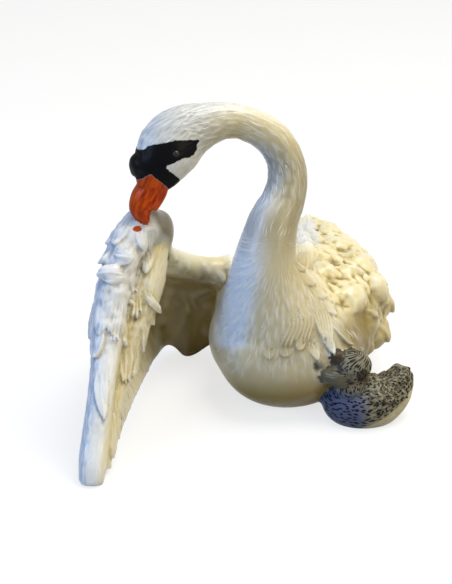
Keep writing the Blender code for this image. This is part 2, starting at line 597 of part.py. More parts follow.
def edge_feathers(clay, skin):
    """The thick coverts that the bill has ruffled at the wrist, and the lapped ones under them."""
    petals = [
        # places from the wrist, then width, lift and sharpness
        ([(-9, -2, 6), (-12, -6, 2), (-14, -10, -3)], 6.0, 1.0, 0.3),
        ([(-13, -11, -3), (-15, -13, -6), (-17, -15, -9)], 5.0, 1.6, 0.2),
        ([(-5, -5, 6), (-8, -10, 3), (-11, -14, -1)], 6.0, 1.2, 0.2),
        ([(-13, -15, -4), (-8, -17, -5), (-3, -17, -6)], 7.0, 1.8, 0.0),
        ([(-4, -20, -11), (-9, -20, -11), (-15, -18, -12)], 8.4, 2.2, 0.0),
        ([(0, -8, 4), (0, -11, 0), (1, -12, -5)], 5.0, 1.6, 0.2),
        ([(3, -4, 3), (3, -7, -2), (3, -8, -7)], 5.0, 1.2, 0.4),
        ([(2, -8, -5), (2, -7, -10), (1, -8, -18)], 5.0, 1.6, 0.3),
        ([(-1, -12, -8), (-2, -16, -14), (-3, -18, -20)], 5.0, 1.0, 0.5),
        ([(0, -13, -19), (1, -13, -25), (3, -11, -31)], 3.6, 2.2, 0.6),
        ([(1, -11, -29), (2, -12, -33), (3, -12, -37)], 4.0, 1.6, 0.2),
        ([(-3, -20, -19), (-5, -23, -29), (-8, -27, -38)], 8.5, 1.6, 0.3),
        ([(-1, -16, -27), (-1, -18, -36), (-3, -21, -43)], 5.5, 1.0, 0.4),
        ([(-13, -21, -16), (-15, -27, -24), (-16, -31, -31)], 7.0, 1.0, 0.4),
        ([(-16, -29, -24), (-18, -32, -31), (-17, -35, -39)], 6.5, 1.8, 0.1),
        ([(-14, -34, -38), (-15, -41, -48), (-14, -48, -58)], 6.0, 0.8, 0.6),
    ]
    for route, width, lift, point in petals:
        trail(clay, skin, [wrist() + p for p in route], width, lift, point, 0.4)
    combs = [
        # the places of the first strand and of the last from the wrist, then count, width and lift
        ([(-8, -22, -15), (-11, -26, -22), (-13, -31, -33)],
         [(-4, -20, -15), (-7, -24, -22), (-10, -29, -33)], 4, 2.2, 0.8),
        ([(-3, -18, -15), (-3, -19, -22), (-4, -21, -30)],
         [(0, -15, -15), (-1, -17, -22), (-1, -18, -30)], 3, 1.8, 1.1),
        ([(-7, -27, -35), (-8, -30, -42), (-8, -33, -51)],
         [(1, -14, -37), (0, -17, -45), (-5, -25, -51)], 7, 2.4, 1.2),
    ]
    for first, last, count, width, lift in combs:
        comb(clay, skin, [wrist() + p for p in first], [wrist() + p for p in last], count, width,
             lift, 0.6)


def hollow_feathers(clay, skin):
    """What shows in the open wing's hollow: ripples under the arm, two shafts and a broad feather."""
    fringe = [trunk(-0.75, -0.02, 0.83), trunk(-0.66, 0.03, 0.73), trunk(-0.55, 0.06, 0.70),
              trunk(-0.42, 0.08, 0.66)]
    fan(clay, skin, trunk(-0.73, 0.135, 1.12), fringe, 8, 6.5, 4.0, 1.0, 0.6, 0.3)
    for shift in (0.0, 3.4):
        trail(clay, skin, [wrist() + (11 + shift, 35, -42), wrist() + (13 + shift, 39, -50),
                           wrist() + (16 + shift, 41, -59)], 1.8, 0.8, 0.8)
    trail(clay, skin, [wrist() + p for p in ((7, 34, -36), (8, 36, -48), (5, 34, -62), (1, 30, -74))],
          14.0, 1.0, 0.4)


def cygnet_feathers(clay, skin):
    """Short tufts over the cygnet's back and tail."""
    clay.paint = "cygnet_grey"
    for out, deep, high in ((0.08, 0.02, 0.74), (0.24, 0.12, 0.78), (0.42, 0.18, 0.84),
                            (0.56, 0.22, 0.94)):
        arc = [cygnet_place(out, deep, high), cygnet_place(out + 0.04, -0.16, high - 0.04),
               cygnet_place(out + 0.04, -0.44, high - 0.24)]
        fan(clay, skin, cygnet_place(-0.56, 0, 0.64), arc, 3, 7.0, 6.0, 1.0, 0.5)
    clay.paint = "pearl_white"


def stand_flat(mesh):
    """Cuts the solid level with the ground, which leaves flat patches for it to stand on."""
    shape = bmesh.new()
    shape.from_mesh(mesh)
    cut = bmesh.ops.bisect_plane(shape, geom=shape.verts[:] + shape.edges[:] + shape.faces[:],
                                 dist=1e-4, plane_co=(0, 0, 0), plane_no=(0, 0, -1),
                                 clear_outer=True)
    rim = [g for g in cut["geom_cut"] if isinstance(g, bmesh.types.BMEdge)]
    bmesh.ops.holes_fill(shape, edges=rim, sides=0)
    bmesh.ops.triangulate(shape, faces=shape.faces[:])
    shape.to_mesh(mesh)
    shape.free()


def paint_faces(mesh, near, paints):
    """Gives each face the paint of the form that it came from."""
    for name, (colour, roughness) in PAINTS.items():
        material = bpy.data.materials.new(name)
        material.use_nodes = True
        shader = material.node_tree.nodes["Principled BSDF"]
        shader.inputs["Base Color"].default_value = colour + (1.0,)
        shader.inputs["Roughness"].default_value = roughness
        shader.inputs["Metallic"].default_value = 0.0
        mesh.materials.append(material)
    slots = list(PAINTS)
    for face in mesh.polygons:
        face.material_index = slots.index(paints[near.find_nearest(face.center)[2]])


def cast(clay, name):
    """Joins the clay into one skin, thins its faces, cuts it flat and paints it."""
    near, paints = clay.skin(), clay.paints
    solid = clay.form(name, SKIN_VOXEL, SKIN_SOFTNESS)
    thin = solid.modifiers.new("thin", "DECIMATE")
    thin.ratio = FACES_KEPT / (2 * len(solid.data.polygons))
    settle(solid)
    stand_flat(solid.data)
    paint_faces(solid.data, near, paints)
    solid.data.transform(Matrix.Scale(MM, 4))
    solid.data.name = name
    solid.data.shade_smooth()


def main():
    for old in list(bpy.data.objects):
        bpy.data.objects.remove(old)
    clay = Clay()
    body(clay)
    neck_and_head(clay)
    open_wing(clay)
    folded_wing(clay)
    cygnet(clay)
    clay.blend(SEAM_VOXEL, SEAM_SOFTNESS)
    skin = clay.skin()
    bill(clay)
    mask(clay, skin)
    breast_feathers(clay, skin)
    flank_feathers(clay, skin)
    back_feathers(clay, skin)
    tail_feathers(clay)
    wing_feathers(clay)
    edge_feathers(clay, skin)
    hollow_feathers(clay, skin)
    cygnet_feathers(clay, skin)
    cast(clay, "swan_figurine")


main()
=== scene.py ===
"""The looks of the swan figurine: its carving in full, its paint, a pale floor and a soft studio.

The forms are those of the CAD model at a finer scale, from the same sizes, with the tool marks and
the paint that the CAD leaves out. Sizes are millimetres, and the finished meshes are in metres.
"""

import math

import bmesh
import bpy
import numpy as np
from mathutils import Matrix, Vector
from mathutils.bvhtree import BVHTree
from mathutils.interpolate import poly_3d_calc


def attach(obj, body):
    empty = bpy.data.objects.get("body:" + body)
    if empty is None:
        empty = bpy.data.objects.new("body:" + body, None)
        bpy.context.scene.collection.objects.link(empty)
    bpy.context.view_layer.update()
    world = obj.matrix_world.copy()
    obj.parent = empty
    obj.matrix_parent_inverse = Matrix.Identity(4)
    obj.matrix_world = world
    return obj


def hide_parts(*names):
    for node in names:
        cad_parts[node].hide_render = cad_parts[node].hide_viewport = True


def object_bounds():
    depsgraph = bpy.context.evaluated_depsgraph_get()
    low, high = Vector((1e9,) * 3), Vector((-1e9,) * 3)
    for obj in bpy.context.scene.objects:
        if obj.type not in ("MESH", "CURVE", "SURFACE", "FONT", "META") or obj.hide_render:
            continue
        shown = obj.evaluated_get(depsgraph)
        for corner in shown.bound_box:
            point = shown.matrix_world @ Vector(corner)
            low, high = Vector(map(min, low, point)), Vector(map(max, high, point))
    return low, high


# One millimetre in metres
MM = 0.001

# Trunk
BODY_LENGTH = 104.0
BODY_WIDTH = 71.0
BODY_HEIGHT = 59.0
BELLY_SINK = 1.6

# Neck, head and bill
ARCH_OVER_WRIST = 36.0
NECK_RADIUS = 7.0
HEAD_RADIUS = 12.8
BILL_RADIUS = 6.2
KNOB_RADIUS = 6.0

# Open wing: the wrist, which the bill touches, and the tip, which rests on the ground
WRIST_OUT = 61.0
WRIST_FORWARD = 24.0
WRIST_HEIGHT = 80.0
TIP_OUT = 79.5
TIP_FORWARD = 82.5
WING_THICKNESS = 5.0
# shares of the thickness from the leading edge to the hem
WING_TAPER = (1.6, 1.3, 1.0, 0.7)
WRIST = np.array((-WRIST_OUT, -WRIST_FORWARD, WRIST_HEIGHT))
WING_TIP = np.array((-TIP_OUT, -TIP_FORWARD, 0.0))
# the bill bites the feathers over the wrist
BILL_TIP = WRIST + (2.5, -8.5, 4.0)

# Feathers
FEATHER_THICKNESS = 0.8
# how sharply the plumage bends over the flanks, as a share of a millimetre's turn
FLANK_CURVE = 0.06
COVERT_LIFT = 3.0
TAIL_REACH = 23.0

# Cygnet
CYGNET_RIGHT = 30.5
CYGNET_FORWARD = 33.0
CYGNET_HEIGHT = 25.0

# Fineness of the casting
SEAM_VOXEL = 1.0
SEAM_SOFTNESS = 4.0
SKIN_VOXEL = 0.38
SKIN_SOFTNESS = 0.6
FACES_KEPT = 196000

# Colours, linear
PEARL = (0.64, 0.665, 0.67)
CREAM = (0.86, 0.75, 0.40)
PAINTED_HIGHLIGHT_WHITE = (0.92, 0.92, 0.90)
ARM_PAINTED_LIGHT_CREAM = (0.98, 0.93, 0.68)
PAINTED_BLUE_LIGHT = (0.46, 0.55, 0.71)
PAINTED_PALE_BLUE_LIGHT = (0.72, 0.84, 1.0)
TAN_PAINTED_SHADE = (0.60, 0.51, 0.28)
OLIVE_PAINTED_SHADE = (0.26, 0.19, 0.048)
LOBE_BROWN_AND_PAINTED_SHADE = (0.19, 0.16, 0.095)
DOWN_GREY = (0.085, 0.078, 0.052)
DOWN_PAINTED_HIGHLIGHT = (0.25, 0.23, 0.165)
DOWN_PAINTED_BLUE_LIGHT = (0.08, 0.105, 0.21)
DOWN_DARK = (0.006, 0.006, 0.007)
CYGNET_BASE = (0.58, 0.53, 0.36)
MASK_BLACK = (0.003, 0.003, 0.004)
BILL_ORANGE = (0.72, 0.090, 0.0015)
BILL_RED = (0.30, 0.018, 0.002)
BEAK_GREY = (0.085, 0.083, 0.055)
KNOB_BROWN = (0.030, 0.018, 0.012)
DULL_WASH = (0.50, 0.42, 0.24)
ENAMEL = (0.004, 0.004, 0.005)
ENAMEL_WORN = (0.02, 0.015, 0.012)
FLOOR_GREY = (0.28, 0.28, 0.275)

# Where the breast's strokes fan from, in shares of the trunk, and the carved crown, from the wrist
THROAT = (-0.11, -0.27, 1.30)
CROWN = (15.0, 0.0, 42.0)
# The orange drip, from the wrist
DRIP = (-1.3, -10.6, 3.3)
# The bill's way out of the head, seen from above
FORE = (-0.85, -0.526, 0.0)
# Painted lines, from end to end: the hollow's pale shafts and the crack in the flank
SHAFTS = (((-50.3, 9.2, 42.0), (-45.5, 18.1, 20.0)), ((-53.0, 9.2, 41.0), (-50.0, 17.0, 24.0)))
CRACKS = (((12.5, -24.5, 46.6), (19.1, -20.5, 43.1)), ((19.1, -20.5, 43.1), (25.6, -17.0, 38.5)))

# Tool marks: length, width and lean
DOWN_STROKE = (7.0, 1.9, 0.25)
FINE_STROKE = (4.0, 1.3, 0.5)
QUILL_STROKE = (11.0, 1.7, 0.06)
DASH_STROKE = (2.6, 1.7, 0.5)

EYE_RADIUS = 1.6

# The photograph's camera
CAMERA_AIM = (-0.029, 0.0, 0.0390)
CAMERA_DISTANCE = 0.520
CAMERA_ELEVATION = 27.0
CAMERA_LENS = 76.3

# The studio
WORLD_LIGHT = 0.12
FLOOR_GLOW = 0.72
LAMPS = (
    # name, place, size, power and colour
    ("key", (0.20, 0.06, 0.80), 0.50, 6.0, (1.0, 0.97, 0.90)),
    ("window", (-0.54, -0.38, 0.42), 0.34, 2.6, (0.36, 0.58, 1.0)),
    ("fill", (0.54, -0.44, 0.36), 0.40, 1.8, (1.0, 0.88, 0.60)),
)


def unit(vectors):
    """The vectors at length 1."""
    vectors = np.asarray(vectors, float)
    return vectors / np.maximum(np.linalg.norm(vectors, axis=-1, keepdims=True), 1e-9)


def smooth_path(rows, count):
    """A Catmull-Rom curve through the rows, with count points spaced evenly by row."""
    rows = np.asarray(rows, float)
    ends = np.vstack([2 * rows[0] - rows[1], rows, 2 * rows[-1] - rows[-2]])
    places = np.linspace(0, len(rows) - 1, count)
    first = np.minimum(places.astype(int), len(rows) - 2)
    t = (places - first)[:, None]
    p0, p1, p2, p3 = (ends[first + k] for k in range(4))
    return 0.5 * (2 * p1 + (p2 - p0) * t + (2 * p0 - 5 * p1 + 4 * p2 - p3) * t**2
                  + (3 * p1 - p0 - 3 * p2 + p3) * t**3)


def noise(*seeds):
    """Repeatable numbers from -1 to 1, so that no two feathers or strokes lie quite alike."""
    total = sum(np.asarray(s) * k for s, k in zip(seeds, (12.9898, 78.233, 37.719)))
    return 2 * np.modf(np.abs(np.sin(total + 4.1) * 43758.5453))[0] - 1


def trunk(x, y, z):
    """A place by the trunk, as shares of its width, length and height."""
    return np.array([x * BODY_WIDTH, y * BODY_LENGTH, z * BODY_HEIGHT])


def from_wrist(x, y, z):
    """A place by the top of the open wing, where its edge turns from the arm to the hand."""
    return WRIST + (x, y, z)


def from_tip(x, y, z):
    """A place by the open wing's tip, where it meets the ground."""
    return WING_TIP + (x, y, z)


def from_bill(x, y, z):
    """A place by the bill's tip."""
    return BILL_TIP + (x, y, z)


def stations(place, deep, wide, rows):
    """Stations of a limb: places by a landmark, and radii as shares of two sizes."""
    return [tuple(place(*row[:3])) + (row[3] * deep, row[4] * wide) for row in rows]


def rim_of(rows, columns):
    """The places along the edge of a grid, in order round it."""
    return ([(r, 0) for r in range(rows)] + [(rows - 1, c) for c in range(1, columns)]
            + [(r, columns - 1) for r in range(rows - 2, -1, -1)]
            + [(0, c) for c in range(columns - 2, 0, -1)])


def gap_to(points, place):
    """How far each point lies from a place."""
    return np.linalg.norm(points - place, axis=1)


def stand(name, data):
    """An object of this data, in the scene."""
    shape = bpy.data.objects.new(name, data)
    bpy.context.scene.collection.objects.link(shape)
    return shape


class Clay:
    """Overlapping closed forms, with the flow of the carving over each, before they are joined.

    A point's flow is how far it lies along its form and across it. A face's coat says what covers
    it: down, vane, bill, grey for the cygnet's down, or bare.
    """

    def __init__(self):
        self.points = []
        self.flows = []
        self.faces = []
        self.coats = []
        self.coat = "down"

    def add(self, points, faces, flows):
        """Adds a closed form in the present coat."""
        start = len(self.points)
        self.points.extend(map(tuple, points))
        self.flows.extend(map(tuple, flows))
        self.faces.extend(tuple(start + int(i) for i in face) for face in faces)
        self.coats.extend([self.coat] * len(faces))

    def limb(self, stations, toward, rings=40, sides=28):
        """A tapering form along stations: x, y, z, radius toward a direction, radius across it."""
        path = smooth_path(stations, rings)
        centre, radii = path[:, :3], np.maximum(path[:, 3:], 0.2)
        along = unit(np.gradient(centre, axis=0))
        toward = np.broadcast_to(np.asarray(toward, float), centre.shape)
        side = unit(toward - along * (toward * along).sum(1, keepdims=True))
        across = np.cross(along, side)
        turn = np.linspace(0, 2 * math.pi, sides, endpoint=False)
        points = (centre[:, None]
                  + side[:, None] * radii[:, None, :1] * np.cos(turn)[None, :, None]
                  + across[:, None] * radii[:, None, 1:] * np.sin(turn)[None, :, None])
        steps = np.linalg.norm(np.diff(centre, axis=0), axis=1)
        far = np.concatenate([[0], np.cumsum(steps)])[:, None] + 0 * turn[None]
        round_it = radii.mean(1)[:, None] * np.abs(math.pi - turn)[None]
        faces = [(r * sides + s, r * sides + (s + 1) % sides,
                  (r + 1) * sides + (s + 1) % sides, (r + 1) * sides + s)
                 for r in range(rings - 1) for s in range(sides)]
        faces.append(tuple(range(sides - 1, -1, -1)))
        faces.append(tuple((rings - 1) * sides + s for s in range(sides)))
        self.add(points.reshape(-1, 3), faces, np.stack([far, round_it], axis=-1).reshape(-1, 2))

    def ball(self, centre, radii):
        """An ellipsoid along the axes."""
        x, y, z = centre
        rx, ry, rz = radii
        turns = [math.radians(a) for a in range(-85, 90, 10)]
        self.limb([(x, y, z + rz * math.sin(a), rx * math.cos(a), ry * math.cos(a)) for a in turns],
                  (1, 0, 0), 18)

    def slab(self, top, low, flow):
        """The solid between two grids of points, which share a grid of flows."""
        rows, columns = top.shape[:2]
        a, b = np.arange(2 * rows * columns).reshape(2, rows, columns)
        faces = []
        for r in range(rows - 1):
            for c in range(columns - 1):
                faces.append((a[r, c], a[r, c + 1], a[r + 1, c + 1], a[r + 1, c]))
                faces.append((b[r, c], b[r + 1, c], b[r + 1, c + 1], b[r, c + 1]))
        rim = rim_of(rows, columns)
        for p, q in zip(rim, rim[1:] + rim[:1]):
            faces.append((a[p], a[q], b[q], b[p]))
        self.add(np.concatenate([top.reshape(-1, 3), low.reshape(-1, 3)]), faces,
                 np.concatenate([flow.reshape(-1, 2)] * 2))

    def sheet(self, ribs, thickness, columns=60, rows=18):
        """A curved panel through ribs of four points from the leading to the trailing edge."""
        ribs = np.asarray(ribs, float)
        chords = np.stack([smooth_path(ribs[:, k], columns) for k in range(4)], axis=1)
        middle = np.stack([smooth_path(c, rows) for c in chords])
        normal = unit(np.cross(np.gradient(middle, axis=0), np.gradient(middle, axis=1)))
        half = np.interp(np.linspace(0, 3, rows), range(4), thickness)[None, :, None] / 2
        down, out = np.meshgrid(np.linspace(0, 50, rows), np.linspace(0, 120, columns))
        self.slab(middle - normal * half, middle + normal * half, np.stack([down, out], axis=-1))

    def feather(self, spine, up, width, thick, point, sink, curl=0.0, bend=0.0, steps=7):
        """A domed vane with a shaft along a spine: how pointed, how curled up at its sides, and
        how far bent over what is under it."""
        spine, up = np.asarray(spine, float), unit(up)
        side = unit(np.cross(np.gradient(spine, axis=0), up))
        t = np.linspace(0, 1, len(spine))
        blunt = np.interp(t, (0, 0.25, 0.6, 0.85, 1), (0.5, 0.85, 1, 0.8, 0.3))
        sharp = np.interp(t, (0, 0.25, 0.6, 0.85, 1), (0.5, 0.9, 0.95, 0.5, 0.06))
        half = (blunt * (1 - point) + sharp * point) * width / 2
        s = np.linspace(-1, 1, steps)
        dome = thick * (1 + (curl - 0.5) * s**2 + 0.25 * np.maximum(1 - abs(s) * 3, 0))
        dome = dome[None] - bend * (half[:, None] * s[None])**2 / 2
        across = side[:, None] * half[:, None, None] * s[None, :, None]
        length = np.linalg.norm(spine[-1] - spine[0])
        flow = np.stack([(t * length)[:, None] + 0 * s[None], half[:, None] * s[None]], axis=-1)
        coat, self.coat = self.coat, "vane" if self.coat == "down" else self.coat
        self.slab(spine[:, None] + across + up[:, None] * dome[:, :, None],
                  spine[:, None] + across * 0.9 - up[:, None] * sink, flow)
        self.coat = coat

    def form(self, name, voxel, softness):
        """The forms joined into one skin of the voxel's fineness, softened over a distance."""
        loose = bpy.data.meshes.new(name)
        loose.from_pydata([Vector(p) for p in self.points], [], self.faces)
        shape = stand(name, loose)
        join = shape.modifiers.new("join", "REMESH")
        join.mode = "VOXEL"
        join.voxel_size = voxel
        soften = shape.modifiers.new("soften", "SMOOTH")
        soften.factor = 0.5
        soften.iterations = round((softness / voxel) ** 2)
        settle(shape)
        return shape

    def read(self, near, places):
        """The flow and the coat of the form that lies nearest to each place."""
        flows, coats = np.zeros((len(places), 2)), []
        for k, place in enumerate(places):
            spot, _, index, _ = near.find_nearest(place)
            corners = self.faces[index]
            shares = poly_3d_calc([Vector(self.points[c]) for c in corners], spot)
            flows[k] = sum(share * np.array(self.flows[c]) for share, c in zip(shares, corners))
            coats.append(self.coats[index])
        return flows, np.array(coats)

    def blend(self, voxel, softness):
        """Softens the seams between the forms so far."""
        near = self.skin()
        shape = self.form("blend", voxel, softness)
        mesh = shape.data
        flows, _ = self.read(near, [v.co for v in mesh.vertices])
        _, coats = self.read(near, [face.center for face in mesh.polygons])
        self.points = [tuple(v.co) for v in mesh.vertices]
        self.flows = [tuple(flow) for flow in flows]
        self.faces = [tuple(face.vertices) for face in mesh.polygons]
        self.coats = list(coats)
        bpy.data.objects.remove(shape)

    def skin(self):
        """The forms so far as a tree that finds the nearest point on them."""
        return BVHTree.FromPolygons([Vector(p) for p in self.points], self.faces)


def settle(shape):
    """Puts what the modifiers make in place of the object's mesh."""
    bpy.context.view_layer.update()
    made = shape.evaluated_get(bpy.context.evaluated_depsgraph_get())
    mesh = bpy.data.meshes.new_from_object(made)
    old = shape.data
    shape.modifiers.clear()
    shape.data = mesh
    bpy.data.meshes.remove(old)


def lay(clay, skin, root, heading, length, width, lift, point=0.6, rows=12):
    """Lays a feather on the skin from its root along a heading; its tip stands off by the lift."""
    place, up, _, _ = skin.find_nearest(Vector(root))
    heading = Vector(heading)
    spine, ups = [], []
    for k in range(rows):
        heading = (heading - up * heading.dot(up)).normalized()
        rise = lift * (k / (rows - 1)) ** 1.3 - 0.5
        spine.append(tuple(place + up * rise))
        ups.append(tuple(up))
        place, up, _, _ = skin.find_nearest(place + heading * length / (rows - 1))
    clay.feather(spine, ups, width, FEATHER_THICKNESS, point, 2.2 + lift, 0.0, FLANK_CURVE)


def fan(clay, skin, source, arc, count, length, width, lift, point=0.6, stray=0.15):
    """Feathers that spread from a source, with their tips along an arc on the skin."""
    for k, tip in enumerate(smooth_path(arc, count)):
        seed = k + length + width * 0.7 + len(arc) * 3.3
        heading = (Vector(tip) - Vector(source)).normalized()
        heading += Vector([stray * noise(seed + 0.3 * n) for n in range(3)])
        span = length * (1 + 0.25 * noise(seed + 2))
        lay(clay, skin, Vector(tip) - heading * span, heading, span,
            width * (1 + 0.2 * noise(seed + 3)), lift * (1 + 0.3 * noise(seed + 4)), point)


def trail(clay, skin, route, width, lift, point=0.8, curl=0.0, sunk=0.7, rows=10):
    """Lays a feather on the skin along a route; its root is sunk and its tip stands off."""
    spine, ups = [], []
    for share, place in zip(np.linspace(0, 1, rows), smooth_path(route, rows)):
        place, up, _, _ = skin.find_nearest(Vector(place))
        spine.append(tuple(place + up * ((lift + sunk) * share**1.2 - sunk - 0.5)))
        ups.append(tuple(up))
    clay.feather(spine, ups, width, FEATHER_THICKNESS, point, 2.2 + lift, curl, FLANK_CURVE)


def trails(clay, skin, place, curl, rows):
    """Feathers along routes by a landmark: root, middle and tip, then width, lift, sharpness."""
    for route, width, lift, point in rows:
        trail(clay, skin, [place(*spot) for spot in route], width, lift, point, curl)


def combs(clay, skin, place, rows):
    """Strands side by side: the first route, the last one, count, width, lift and sharpness."""
    for first, last, count, width, lift, point in rows:
        first, last = (np.array([place(*spot) for spot in route], float) for route in (first, last))
        for k in range(count):
            route = first + (last - first) * k / (count - 1)
            route[-1] += (route[-1] - route[-2]) * 0.2 * noise(k + first[0][0])
            trail(clay, skin, route, width * (1 + 0.15 * noise(k + 0.4)), lift, point)


def body(clay):
    """The swan's trunk, from the full breast to the raised tail."""
    profile = [
        # shares of the length, width and height: place, then half width and half height
        (-0.41, -0.08, 0.39, 0.03, 0.03),
        (-0.38, -0.08, 0.39, 0.22, 0.21),
        (-0.31, -0.08, 0.40, 0.355, 0.36),
        (-0.19, -0.055, 0.42, 0.44, 0.45),
        (-0.01, -0.005, 0.44, 0.485, 0.49),
        (0.19, 0.03, 0.47, 0.485, 0.48),
        (0.35, 0.08, 0.52, 0.38, 0.37),
        (0.49, 0.11, 0.57, 0.23, 0.21),
        (0.59, 0.125, 0.60, 0.12, 0.09),
    ]
    clay.limb([tuple(trunk(x, y, z) - (0, 0, BELLY_SINK)) + (BODY_WIDTH * wide, BODY_HEIGHT * high)
               for y, x, z, wide, high in profile], (1, 0, 0), 48, 36)


def neck_and_head(clay):
    """The neck rises from the breast, arches over and brings the head down to the wing."""
    top = WRIST_HEIGHT + ARCH_OVER_WRIST
    n, h = NECK_RADIUS, HEAD_RADIUS
    # the foot of the neck swells into the breast
    foot = stations(trunk, BODY_WIDTH, BODY_WIDTH, (
        (-0.06, -0.09, 0.19, 0.26, 0.28),
        (-0.07, -0.12, 0.35, 0.36, 0.395),
        (-0.10, -0.145, 0.51, 0.38, 0.42),
        (-0.13, -0.17, 0.68, 0.325, 0.36)))
    rise = [(x, y, top * share, n * deep, n * wide) for x, y, share, deep, wide in (
        (-12.0, -20.0, 0.435, 2.46, 2.71),
        (-13.6, -21.5, 0.530, 1.77, 1.94),
        (-12.4, -20.0, 0.608, 1.51, 1.63),
        (-10.2, -17.0, 0.681, 1.31, 1.43),
        (-6.4, -13.0, 0.746, 1.12, 1.24),
        (-4.8, -10.0, 0.810, 1.02, 1.14),
        (-6.2, -8.0, 0.882, 0.95, 1.05),
        (-11.6, -8.0, 0.954, 0.92, 1.02),
        (-20.0, -9.0, 1.000, 0.90, 0.96))]
    drop = stations(from_bill, 1, 1, (
        (30.6, 22.0, 34.2, n * 0.93, n * 1.00),
        (22.0, 18.6, 33.7, h * 0.56, h * 0.68),
        (14.0, 14.6, 31.4, h * 0.65, h * 0.91),
        (8.2, 10.8, 27.2, h * 0.70, h * 0.97),
        (4.6, 7.4, 21.4, h * 0.62, h * 0.82),
        (2.3, 5.0, 15.5, h * 0.45, h * 0.59),
        (1.8, 4.2, 12.8, h * 0.31, h * 0.42)))
    clay.limb(foot + rise + drop, (0, 1, 0), 90, 32)


def bill(clay):
    """The bill, broad at its base and turned down to a nail at its tip."""
    clay.coat = "bill"
    clay.limb(stations(from_bill, BILL_RADIUS, BILL_RADIUS, (
        (2.6, 5.2, 17.0, 0.76, 0.92),
        (1.4, 4.4, 13.0, 0.74, 0.98),
        (-0.9, 3.4, 9.2, 0.71, 0.98),
        (-2.4, 2.4, 5.8, 0.66, 0.82),
        (-1.8, 1.4, 3.4, 0.50, 0.50),
        (-0.8, 0.6, 1.6, 0.28, 0.26),
        (-0.4, 0.2, 0.6, 0.10, 0.10))), (0, 1, 0), 30, 24)
    # the knob over its base
    clay.coat = "bare"
    r = KNOB_RADIUS
    clay.ball(from_bill(-1.5, 7.0, 21.6), (r * 0.92, r * 0.82, r))
    clay.coat = "down"


def wing_edge():
    """The open wing's leading edge: x, y, z, radius in depth and radius across at each station."""
    arm = stations(trunk, 1, 1, (
        (-0.17, 0.135, 0.64, 10.0, 10.0),
        (-0.39, 0.135, 0.70, 7.0, 7.0),
        (-0.59, 0.105, 0.755, 6.0, 6.0)))
    hand = stations(from_wrist, 1, 1, (
        (4.5, 25.0, -25.0, 6.5, 6.5),
        (3.0, 10.0, -11.0, 8.0, 7.6),
        (0.0, 0.0, 0.0, 8.0, 8.0),
        (-6.6, -9.0, -6.0, 6.6, 7.0),
        (-11.6, -19.0, -21.0, 6.0, 6.6),
        (-13.6, -29.0, -38.0, 5.2, 5.8)))
    return arm + hand + stations(from_tip, 1, 1, (
        (3.2, 18.0, 28.0, 4.5, 5.2),
        (1.4, 10.0, 15.0, 4.4, 5.5),
        (0.3, 3.2, 5.5, 4.2, 5.5),
        (0.2, 0.0, -0.6, 3.4, 4.8)))


def wing_ribs():
    """Chords of the open wing, each of four points from the leading edge down to the hem."""
    edge = wing_edge()
    tops = [np.array(edge[k][:3]) for k in (0, 1, 2, 3, 5, 7, 8, 9, 11)]
    root = [trunk(-0.31, 0.17, 0.22), trunk(-0.48, 0.16, 0.09), trunk(-0.65, 0.125, -0.01)]
    under = WRIST * (1, 1, 0)
    hem = root + [under + (7, 39, 5), under + (0, 28, 3)] + [from_tip(*spot) for spot in (
        (14, 68.5, 2), (10, 46.5, 2), (6.5, 24.5, 2), (4, 7, 1))]
    swell = [(0, 2, 0), (0, 6, 0), (-3, 9, 0), (-9, 7, 0), (-11, 2, 0), (-7.5, 0, 0),
             (-1.5, 0, 0), (1, 0, 0), (0.5, 0, 0)]
    ribs = []
    for high, low, out in zip(tops, hem, np.array(swell, float)):
        ribs.append([high, high + (low - high) * 0.33 + out, high + (low - high) * 0.67 + out * 0.8,
                     low])
    return ribs


def open_wing(clay):
    """The lowered wing: an arm out from the back, the raised wrist, and a hand down to its tip."""
    clay.limb(wing_edge(), (0, 1, 0), 90, 24)
    clay.sheet(wing_ribs(), WING_THICKNESS * np.array(WING_TAPER))
    # the flesh of the wing behind its edge
    clay.limb(stations(from_wrist, 1, 1, (
        (4, 4, -8, 6.5, 5.5),
        (1, -5, -20, 8.5, 7.5),
        (-4, -13, -33, 8.0, 7.5),
        (-8, -23, -46, 6.5, 6.0))) + stations(from_tip, 1, 1, (
            (7, 25, 22, 4.8, 4.6),
            (4, 11, 9, 3.0, 3.2))), (0, 1, 0), 40, 20)
    # the rounded thumb behind the bill
    clay.limb(stations(from_wrist, 1, 1, (
        (2, 4, 0, 5.0, 7.0),
        (6.0, 5, -3, 5.5, 8.5),
        (6.0, 8, -9, 5.0, 8.0),
        (4.5, 12, -16, 4.0, 6.0))), (1, 0, 0), 16, 20)


def folded_wing(clay):
    """The other wing, half folded along the flank, full and lumpy."""
    clay.limb(stations(trunk, BODY_WIDTH, BODY_HEIGHT, (
        (0.17, -0.145, 0.59, 0.085, 0.135),
        (0.275, -0.06, 0.56, 0.16, 0.27),
        (0.345, 0.03, 0.48, 0.19, 0.36),
        (0.37, 0.145, 0.45, 0.20, 0.37),
        (0.345, 0.28, 0.50, 0.175, 0.31),
        (0.29, 0.405, 0.57, 0.14, 0.22),
        (0.22, 0.52, 0.64, 0.11, 0.13),
        (0.17, 0.60, 0.69, 0.06, 0.07))), (1, 0, 0), 50, 28)
    # the lumps over it
    for x, y, z, size in (
            (0.27, -0.10, 0.66, 10.0), (0.15, -0.03, 0.80, 7.0), (0.29, 0.00, 0.74, 7.5),
            (0.37, 0.13, 0.72, 8.0), (0.45, 0.03, 0.66, 7.0), (0.49, 0.06, 0.50, 7.0),
            (0.45, -0.02, 0.36, 8.0), (0.27, 0.27, 0.71, 7.5), (0.38, -0.10, 0.50, 8.0)):
        clay.ball(trunk(x, y, z), (size, size, size))


def cygnet_place(x, y, z):
    """A place by the cygnet, as shares of its height from the middle of its stance."""
    return np.array([CYGNET_RIGHT, -CYGNET_FORWARD, 0.0]) + np.array([x, y, z]) * CYGNET_HEIGHT


